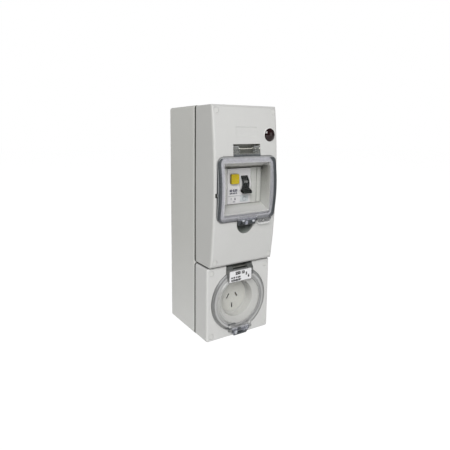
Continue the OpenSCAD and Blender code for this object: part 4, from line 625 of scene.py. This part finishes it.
# Painted shade in the gap between the two covers
SPLIT = Recess((0.0, -50.2), (90.0, 1.15), 0.1, **ANY_DEPTH, grime=(0.05, 0.052, 0.045), cover=0.9)
# Painted light: the lower cover is painted lighter
COVER_FOOT = Recess((0.0, -100.0), (90.0, 51.5), 1.0, **ANY_DEPTH, grime=(0.68, 0.68, 0.665), cover=0.7)
# Painted light: the back box is painted lighter towards the bottom
BOX_FOOT = Recess((0.0, 0.0), (90.0, 170.0), 1.0, **ANY_DEPTH, grime=(0.60, 0.60, 0.57), cover=0.65,
                  shade=(-20.0, -130.0, (0.75, 0.75, 0.73)))
# Painted shade in the toggle's slot, on the test button's left side and in the gaps between the blanking
# strips
LEVER_SLOT = Recess((1.5, 53.0), (0.5, 7.5), 0.4, **ANY_DEPTH, grime=(0.20, 0.20, 0.20), cover=0.55)
BUTTON_SIDE = Recess((-8.0, 60.0), (8.0, 8.5), 1.0, top=95.1, floor=93.6, grime=(0.11, 0.075, 0.004),
                     cover=0.85)
STRIP_LINES = [Recess((x, 50.0), (half, 30.0), 0.1, top=100.0, floor=95.0, grime=(0.17, 0.17, 0.15),
                      cover=0.75)
               for x, half in ((17.8, 0.6), (28.4, 0.5), (36.3, 1.0))]

# The object's finishes
# Painted highlights on the covers' edges, painted shade on their sides, and the painted shade and light
# listed above
moulded("cover_grey", (0.63, 0.63, 0.615), rough=0.42, rub_and_highlight=0.5, rub_and_highlight_color=(0.68, 0.68, 0.65),
        side_shade=(0.545, 0.545, 0.525),
        recesses=(COVER_FOOT, WELL, PLUG_WELL, POCKET, SCOOP_WALL, SCOOP, NOTCH, SPLIT))
# Painted highlight: the box's edges, its front rim most of all, are painted a light cream, as a highlight and
# as wear
moulded("box_grey", (0.60, 0.60, 0.57), rough=0.46, rub_and_highlight=0.9, rub_and_highlight_color=(0.84, 0.84, 0.76), radius=0.0016,
        recesses=[BOX_FOOT])
moulded("cap_grey", (0.66, 0.66, 0.64), rough=0.38)
moulded("ring_white", (0.86, 0.86, 0.84), rough=0.25, drift=0.03)
moulded("device_white", (0.72, 0.71, 0.72), rough=0.36, grain=2200.0, drift=0.03, recesses=[LEVER_SLOT])
moulded("socket_cream", (0.66, 0.66, 0.62), rough=0.34, grain=2200.0, drift=0.03, recesses=[SLOTS])
moulded("strip_ivory", (0.60, 0.605, 0.575), rough=0.4, grain=2000.0, recesses=STRIP_LINES)
moulded("toggle_black", (0.006, 0.008, 0.008), rough=0.55, drift=0.2, polish=0.1, rub_and_highlight=0.2,
        rub_and_highlight_color=(0.03, 0.034, 0.034), gloss=0.1)
moulded("case_black", (0.03, 0.03, 0.03), rough=0.5, drift=0.2)
moulded("button_yellow", (0.56, 0.425, 0.002), rough=0.42, drift=0.12, rub_and_highlight=0.35,
        rub_and_highlight_color=(0.62, 0.48, 0.02), radius=0.0008, gloss=0.15, recesses=[BUTTON_SIDE])
moulded("flag_grey", (0.58, 0.62, 0.64), rough=0.25, drift=0.06)
moulded("label_white", (0.82, 0.82, 0.83), rough=0.3, drift=0.03, grain=900.0, grain_depth=0.00001,
        radius=0.0002)
printed("print_black", (0.012, 0.012, 0.014))
printed("print_blue", (0.012, 0.012, 0.05))
printed("print_grey", (0.30, 0.32, 0.34))
printed("print_white", (0.36, 0.36, 0.36), drift=0.2)
moulded("gasket_black", (0.035, 0.037, 0.03), rough=0.75, drift=0.25, grain=800.0, grain_depth=0.00006,
        dust=0.15, rub_and_highlight=0.0)
moulded("seal_grey", (0.50, 0.50, 0.53), rough=0.7, drift=0.15, grain=900.0, rub_and_highlight=0.0)
moulded("core_brown", (0.24, 0.12, 0.06), rough=0.4, drift=0.3)
insulation("wire_red", (0.42, 0.03, 0.025), drift=0.15)
insulation("wire_black", (0.02, 0.02, 0.02))
insulation("wire_green", (0.06, 0.26, 0.05))
metal("zinc", (0.58, 0.58, 0.55), (0.38, 0.38, 0.36), rough=0.32)
metal("rail_zinc", (0.55, 0.57, 0.58), (0.40, 0.41, 0.42), rough=0.36)
metal("pin_steel", (0.74, 0.73, 0.66), (0.55, 0.53, 0.46), rough=0.24)
# Painted shade: a darker copy of the pin steel, for the socket hinge pin that lies in shade
metal("pin_steel_in_shade", (0.30, 0.30, 0.275), (0.20, 0.20, 0.18), rough=0.42)
metal("brass", (0.70, 0.50, 0.20), (0.42, 0.29, 0.12), rough=0.3)
lens("lamp_maroon", (0.020, 0.003, 0.004), (0.005, 0.001, 0.001))
clear("window_clear", (0.965, 0.965, 0.965), flap_edge, 20.0, WINDOW_HAZE_AND_SHADE, LUG_HIGHLIGHT_AND_SHADE,
      foot_shade=(12.0, 15.2, FOOT_SHADE, 0.78), wall=(flap_depth, 10.0, WINDOW_WALL_SHADE), bend=1.2)
clear("disc_clear", (0.98, 0.98, 0.975), disc_edge, 24.0, DISC_HAZE_AND_LIGHT, DISC_SHADE,
      frost=(OUTSIDE + 9.0, OUTSIDE + 11.5, 0.4, 0.0), bend=1.25)
clear("latch_clear", (0.80, 0.81, 0.86), latch_edge, 16.0, LATCH_HAZE_AND_SHADE, LEVER_SHADE_AND_GLINTS, rough=0.05)

FINISH = {
    "cover_grey": ["upper_cover", "lower_cover"],
    "box_grey": ["back_box", "conduit_plug"],
    "cap_grey": ["screw_caps"],
    "device_white": ["rcd_base", "rcd_front"],
    "socket_cream": ["socket_insert"],
    "strip_ivory": ["blanking_strips"],
    "toggle_black": ["rcd_toggle"],
    "case_black": ["trip_relay", "rail_clip", "lamp_body", "lamp_nut"],
    "button_yellow": ["test_button"],
    "label_white": ["flap_label"],
    "gasket_black": ["upper_gasket", "lower_gasket"],
    "seal_grey": ["socket_seal", "window_seal"],
    "core_brown": ["current_transformer", "contact_bridge"],
    "wire_red": ["active_wire", "lamp_wires"],
    "wire_black": ["neutral_wire"],
    "wire_green": ["earth_wire"],
    "zinc": ["cover_screws", "rail_screws", "earth_bar_screws", "terminal_screws", "contact_screws",
             "insert_screws", "rcd_rivets", "test_spring"],
    "rail_zinc": ["din_rail"],
    "pin_steel": ["window_hinge_pin", "window_latch_pin", "socket_latch_pin"],
    "pin_steel_in_shade": ["socket_hinge_pin"],
    "brass": ["earth_bar", "terminal_cages", "fixed_contacts", "socket_contacts"],
    "lamp_maroon": ["lamp_lens"],
    "window_clear": ["window_flap"],
    "disc_clear": ["socket_flap"],
    "latch_clear": ["window_latch", "socket_latch"],
}
for finish, names in FINISH.items():
    for name in names:
        NODES[name].data.materials.clear()
        NODES[name].data.materials.append(PALETTE[finish])


# Makers of the pieces that are added on the solids

MERGE_DISTANCE = 1e-7
TURNED_SIDES = 64
CORNER_STEPS = 6
LEAST_CORNER = 0.05
LIP_CURVE = 0.3
PRINT_DEPTH = 0.00003
PRINT_STEPS = 4
PRINT_LIFT = 0.04
RIB_SIDES = 12


def placed(name, data, body):
    """A piece with a finished mesh, at the origin and riding on a body."""
    piece = bpy.data.objects.new(name, data)
    bpy.context.scene.collection.objects.link(piece)
    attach(piece, body)
    return piece


def mesh_piece(name, verts, faces, finish, body, smooth=True):
    """A piece from points and faces, with its doubles merged and its faces turned outwards."""
    data = bpy.data.meshes.new(name)
    data.from_pydata(verts, [], faces)
    data.validate()
    tidy = bmesh.new()
    tidy.from_mesh(data)
    bmesh.ops.remove_doubles(tidy, verts=tidy.verts, dist=MERGE_DISTANCE)
    bmesh.ops.recalc_face_normals(tidy, faces=tidy.faces)
    tidy.to_mesh(data)
    tidy.free()
    for face in data.polygons:
        face.use_smooth = smooth
    data.materials.append(PALETTE[finish])
    placed(name, data, body)


def turned(name, profile, x, height, finish, body):
    """A closed profile of (radius, distance from the wall), turned about a line out of the wall."""
    verts, faces = [], []
    count = len(profile)
    for i in range(TURNED_SIDES):
        angle = 2 * math.pi * i / TURNED_SIDES
        across, up = math.cos(angle), math.sin(angle)
        here, beyond = i * count, (i + 1) % TURNED_SIDES * count
        for k, (radius, out) in enumerate(profile):
            after = (k + 1) % count
            verts.append(((x + radius * across) * MM, -out * MM, (height + radius * up) * MM))
            faces.append((here + k, here + after, beyond + after, beyond + k))
    mesh_piece(name, verts, faces, finish, body)


def rounded_outline(width, tall, corner):
    """Points round a rectangle with rounded corners, about 0."""
    points = []
    for sx, sy, start in ((1, 1, 0), (-1, 1, 90), (-1, -1, 180), (1, -1, 270)):
        for i in range(CORNER_STEPS + 1):
            a = math.radians(start + 90 * i / CORNER_STEPS)
            points.append((sx * (width / 2 - corner) + corner * math.cos(a),
                           sy * (tall / 2 - corner) + corner * math.sin(a)))
    return points


def plate(name, x, height, width, tall, corner, back, front, lip, finish, body):
    """A thin rounded plate with a softened front edge; millimetres."""
    rings = [(0.0, back), (0.0, front - lip), (lip * LIP_CURVE, front - lip * LIP_CURVE), (lip, front)]
    outlines = [rounded_outline(width - 2 * inset, tall - 2 * inset, max(corner - inset, LEAST_CORNER))
                for inset, _ in rings]
    verts = [((x + px) * MM, -out * MM, (height + py) * MM)
             for (_, out), outline in zip(rings, outlines) for px, py in outline]
    n = len(outlines[0])
    faces = [(k * n + i, k * n + (i + 1) % n, (k + 1) * n + (i + 1) % n, (k + 1) * n + i)
             for k in range(len(rings) - 1) for i in range(n)]
    faces.append(tuple(range(n)))
    faces.append(tuple(range((len(rings) - 1) * n, len(rings) * n)))
    mesh_piece(name, verts, faces, finish, body, smooth=False)


def evaluated_mesh(draft):
    """The mesh that a draft object gives; the draft is then removed."""
    depsgraph = bpy.context.evaluated_depsgraph_get()
    data = bpy.data.meshes.new_from_object(draft.evaluated_get(depsgraph))
    bpy.data.objects.remove(draft)
    return data


def lettered(name, words, size, bend, finish, body, weight=0.0):
    """Plain numbers as a thin mesh; bend places each point (across, up, thickness) in the row frame."""
    curve = bpy.data.curves.new(name, "FONT")
    curve.body = words
    curve.size = size
    curve.align_x, curve.align_y = "CENTER", "CENTER"
    curve.extrude = PRINT_DEPTH
    curve.offset = weight
    curve.resolution_u = PRINT_STEPS
    draft = bpy.data.objects.new(name + "_draft", curve)
    bpy.context.scene.collection.objects.link(draft)
    data = evaluated_mesh(draft)
    verts = [bend(*v.co) for v in data.vertices]
    faces = [tuple(p.vertices) for p in data.polygons]
    mesh_piece(name, verts, faces, finish, body, smooth=False)


def laid_flat(x, height, out):
    """Places printed numbers on a plane that faces out of the wall; millimetres."""
    def bend(across, up, thick):
        return (x * MM + across, -(out + PRINT_LIFT) * MM - thick, height * MM + up)
    return bend


def grip_ribs_tree():
    """Round ribs in a row, from named sizes."""
    tree = bpy.data.node_groups.new("grip_ribs", "GeometryNodeTree")
    for label, kind in (("Count", "NodeSocketInt"), ("First", VECTOR), ("Step", VECTOR), ("Length", NUMBER),
                        ("Radius", NUMBER), ("Turn", VECTOR), ("Finish", "NodeSocketMaterial")):
        tree.interface.new_socket(label, in_out="INPUT", socket_type=kind)
    tree.interface.new_socket("Geometry", in_out="OUTPUT", socket_type="NodeSocketGeometry")
    given, out = node(tree, "NodeGroupInput"), node(tree, "NodeGroupOutput")
    row = node(tree, "GeometryNodeMeshLine")
    join(tree, given.outputs["Count"], row.inputs["Count"])
    join(tree, given.outputs["First"], row.inputs["Start Location"])
    join(tree, given.outputs["Step"], row.inputs["Offset"])
    rib = node(tree, "GeometryNodeMeshCylinder")
    put(rib, "Vertices", RIB_SIDES)
    join(tree, given.outputs["Radius"], rib.inputs["Radius"])
    join(tree, given.outputs["Length"], rib.inputs["Depth"])
    turn = node(tree, "FunctionNodeEulerToRotation")
    join(tree, given.outputs["Turn"], turn.inputs[0])
    spread = node(tree, "GeometryNodeInstanceOnPoints")
    join(tree, row.outputs["Mesh"], spread.inputs["Points"])
    join(tree, rib.outputs["Mesh"], spread.inputs["Instance"])
    join(tree, turn.outputs[0], spread.inputs["Rotation"])
    solid = node(tree, "GeometryNodeRealizeInstances")
    join(tree, spread.outputs[0], solid.inputs[0])
    painted = node(tree, "GeometryNodeSetMaterial")
    join(tree, solid.outputs[0], painted.inputs["Geometry"])
    join(tree, given.outputs["Finish"], painted.inputs["Material"])
    join(tree, painted.outputs[0], out.inputs[0])
    return tree


GRIP_RIBS = grip_ribs_tree()


def grip_ribs(name, body, slot, finish, **sizes):
    """A row of ribs as a plain mesh."""
    draft = bpy.data.objects.new(name + "_draft", bpy.data.meshes.new(name + "_draft"))
    bpy.context.scene.collection.objects.link(draft)
    change = draft.modifiers.new("ribs", "NODES")
    change.node_group = GRIP_RIBS
    keys = {item.name: item.identifier for item in GRIP_RIBS.interface.items_tree if item.in_out == "INPUT"}
    for label, value in sizes.items():
        change[keys[label]] = value
    change[keys["Finish"]] = PALETTE[finish]
    data = evaluated_mesh(draft)
    data.name = name
    for face in data.polygons:
        face.use_smooth = len(face.vertices) == 4
    placed(name, data, body)


# Bright rim that holds the lamp's lens; its white also stands in for the bright halo round the lens, a
# painted highlight
RIM = ((8.25, 0.02), (9.0, 0.02), (9.1, 0.7), (8.85, 1.2), (8.5, 1.35), (8.25, 1.2))
lamp_low, lamp_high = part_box("lamp_lens")
LAMP_X = (lamp_low.x + lamp_high.x) / 2 / MM
LAMP_HEIGHT = (lamp_low.z + lamp_high.z) / 2 / MM
LAMP_SEAT = -lamp_high.y / MM
turned("lamp_rim", [(radius, LAMP_SEAT + above) for radius, above in RIM], LAMP_X, LAMP_HEIGHT,
       "ring_white", "enclosure")

# Number on the toggle's drum, bent round it
DRUM_X, DRUM_HEIGHT, DRUM_OUT, DRUM_RADIUS = 8.5 * MM, 52.8 * MM, 83.0 * MM, 12.5 * MM
NUMBER_TURN = math.radians(14.0)
NUMBER_SIZE = 0.0042


def round_drum(across, up, thick):
    """Places printed numbers round the toggle's drum; metres."""
    angle = NUMBER_TURN + up / DRUM_RADIUS
    reach = DRUM_RADIUS + PRINT_LIFT * MM + thick
    return (DRUM_X + across, -(DRUM_OUT + reach * math.cos(angle)), DRUM_HEIGHT + reach * math.sin(angle))


lettered("toggle_number", "040", NUMBER_SIZE, round_drum, "print_white", "toggle")

# Finger ribs on the toggle's lever, along its upper face
LEVER_LEAN = math.radians(33.0)
RIB_COUNT = 6
RIB_REACH, RIB_RISE, RIB_STEP = 16.4 * MM, 2.0 * MM, 1.9 * MM
grip_ribs("toggle_ribs", "toggle", "black_plastic", "toggle_black",
          Count=RIB_COUNT, Length=5.0 * MM, Radius=0.4 * MM,
          First=(DRUM_X - (RIB_COUNT - 1) / 2 * RIB_STEP,
                 -DRUM_OUT - RIB_REACH * math.cos(LEVER_LEAN) - RIB_RISE * math.sin(LEVER_LEAN),
                 DRUM_HEIGHT - RIB_REACH * math.sin(LEVER_LEAN) + RIB_RISE * math.cos(LEVER_LEAN)),
          Step=(RIB_STEP, 0.0, 0.0), Turn=(LEVER_LEAN - math.pi / 2, 0.0, 0.0))

# Dark stop on the window flap's left edge
plate("flap_stop", x=-45.4, height=43.5, width=2.6, tall=5.4, corner=1.1, back=105.6, front=110.4, lip=0.5,
      finish="gasket_black", body="window_flap")
# Spring behind the test button: its own copy of the test spring's mesh, riding on the enclosure in place of
# the hidden part

# Spring behind the test button, which shortens as the button goes in
coil = placed("button_spring", NODES["test_spring"].data.copy(), "enclosure")
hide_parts("test_spring")
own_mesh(coil)

# Flag below the toggle, with a plain round mark
NOSE = 92.0
MARK_PROFILE = ((2.3, 0.06), (2.9, 0.06), (2.9, 0.1), (2.3, 0.1))
plate("status_flag", x=8.5, height=34.1, width=12.6, tall=8.6, corner=0.5, back=NOSE - 0.28,
      front=NOSE + 0.05, lip=0.1, finish="flag_grey", body="enclosure")
turned("flag_mark", [(radius, NOSE + above) for radius, above in MARK_PROFILE], 8.8, 33.6,
       "print_grey", "enclosure")

# Plain numbers on the device and on the socket's label: size, across, up and weight in millimetres
LABEL_FRONT = 100.25
DEVICE_PRINT = (("rating_row", "40 0.03", 4.0, -8.6, 44.9, 0.24),
                ("voltage_row", "230 240 50", 2.5, -8.6, 41.5, 0.15),
                ("first_pole", "1", 3.4, -12.0, 34.6, 0.15),
                ("second_pole", "2", 3.6, -6.0, 34.2, 0.25),
                ("lower_row", "3 4", 2.6, -7.4, 30.6, 0.12))
LABEL_PRINT = (("label_large", "250 10", 5.2, -1.0, -62.8, 0.36),
               ("label_upper", "66 50 10 230", 2.8, -7.8, -68.2, 0.2),
               ("label_lower", "0123456789", 3.2, -7.0, -71.8, 0.26),
               ("label_side", "5", 5.0, 9.4, -65.4, 0.34),
               ("label_end", "6", 5.0, 13.0, -69.0, 0.34))
for rows, front, finish, body in ((DEVICE_PRINT, NOSE, "print_blue", "enclosure"),
                                  (LABEL_PRINT, LABEL_FRONT, "print_black", "socket_flap")):
    for name, words, size, x, height, weight in rows:
        lettered(name, words, size * MM, laid_flat(x, height, front), finish, body,
                 weight * MM)
plate("print_rule", x=-7.5, height=38.1, width=17.8, tall=0.55, corner=0.1, back=NOSE + 0.01,
      front=NOSE + 0.07, lip=0.02, finish="print_grey", body="enclosure")


# Camera fitted to the photograph's edges: degrees, millimetres and pixels

CAMERA_TURN, CAMERA_TILT, CAMERA_ROLL = 30.36, 9.66, 0.11
CAMERA_DISTANCE, CAMERA_ALONG, CAMERA_ABOVE = 595.07, -6.83, 17.37
FRAME_PX = 450
FOCAL_PX = 397.36
CENTRE_PX = (196.96, 200.83)
SENSOR_WIDTH = 36.0


def aim():
    """The camera at the photograph's place."""
    az, el, roll = (math.radians(angle) for angle in (CAMERA_TURN, CAMERA_TILT, CAMERA_ROLL))
    look = Vector((math.sin(az) * math.cos(el), math.cos(az) * math.cos(el), -math.sin(el)))
    level = look.cross(Vector((0, 0, 1))).normalized()
    upright = level.cross(look)
    right = math.cos(roll) * level + math.sin(roll) * upright
    up = math.cos(roll) * upright - math.sin(roll) * level
    data = bpy.data.cameras.new("camera")
    data.sensor_fit = "HORIZONTAL"
    data.sensor_width = SENSOR_WIDTH
    data.lens = FOCAL_PX / FRAME_PX * SENSOR_WIDTH
    data.shift_x = (FRAME_PX / 2 - CENTRE_PX[0]) / FRAME_PX
    data.shift_y = (CENTRE_PX[1] - FRAME_PX / 2) / FRAME_PX
    data.clip_start, data.clip_end = 0.01, 50.0
    eye = bpy.data.objects.new("camera", data)
    bpy.context.scene.collection.objects.link(eye)
    eye.location = (-CAMERA_DISTANCE * look + CAMERA_ALONG * right + CAMERA_ABOVE * up) * MM
    eye.rotation_euler = Matrix((right, up, -look)).transposed().to_euler()
    bpy.context.scene.camera = eye


# Floor, sky and lamps

FLOOR_REACH = 6.0
FLOOR_TINTS = ((0.90, 0.90, 0.90), (0.94, 0.94, 0.94))
FLOOR_GLOW, FLOOR_GLOW_SHARE = 1.09, 0.9
SKY_LIGHT = 0.16
AIMED_AT = (0, -0.05, 0)


def is_seen(tree):
    """1 for rays straight from the camera, and 0 for all others."""
    return node(tree, "ShaderNodeLightPath").outputs["Is Camera Ray"]


def lay_floor():
    """A pale floor that shows almost white and keeps the object's shadow."""
    low, reach = cad_box[0].z, FLOOR_REACH
    data = bpy.data.meshes.new("floor")
    data.from_pydata([(-reach, -reach, low), (reach, -reach, low), (reach, reach, low), (-reach, reach, low)],
                     [], [(0, 1, 2, 3)])
    floor = bpy.data.objects.new("floor", data)
    bpy.context.scene.collection.objects.link(floor)
    tree, shader = blank("floor_white")
    put(shader, "Roughness", 0.9)
    pale = tint_mix(tree, noise(tree, object_place(tree), scale=3.0), *FLOOR_TINTS)
    join(tree, pale, shader.inputs["Base Color"])
    glow = node(tree, "ShaderNodeEmission")
    put(glow, "Strength", FLOOR_GLOW)
    both = node(tree, "ShaderNodeMixShader")
    join(tree, maths(tree, "MULTIPLY", is_seen(tree), FLOOR_GLOW_SHARE), both.inputs[0])
    join(tree, shader.outputs[0], both.inputs[1])
    join(tree, glow.outputs[0], both.inputs[2])
    join(tree, both.outputs[0], tree.nodes["surface"].inputs["Surface"])
    data.materials.append(PALETTE["floor_white"])


def hang_sky():
    """A white sky that lights the object softly."""
    world = bpy.data.worlds.new("sky")
    world.use_nodes = True
    tree = world.node_tree
    tree.nodes.clear()
    sky = node(tree, "ShaderNodeBackground")
    put(sky, "Color", (1, 1, 1, 1))
    join(tree, ramp(tree, is_seen(tree), 0.0, 1.0, SKY_LIGHT, 1.0), sky.inputs["Strength"])
    join(tree, sky.outputs[0], node(tree, "ShaderNodeOutputWorld").inputs["Surface"])
    bpy.context.scene.world = world


def lamp(name, place, size, power):
    """A soft lamp aimed at the object's middle."""
    data = bpy.data.lights.new(name, "AREA")
    data.shape = "RECTANGLE"
    data.size, data.size_y = size
    data.energy = power
    made = bpy.data.objects.new(name, data)
    bpy.context.scene.collection.objects.link(made)
    made.location = place
    made.rotation_euler = (Vector(AIMED_AT) - Vector(place)).to_track_quat("-Z", "Y").to_euler()


aim()
lay_floor()
hang_sky()
lamp("key", (-1.43, -1.82, 1.68), size=(1.3, 1.3), power=61.5)
lamp("fill", (0.85, -1.70, 0.3), size=(1.2, 1.4), power=4.6)

bpy.context.scene.view_settings.view_transform = "Standard"
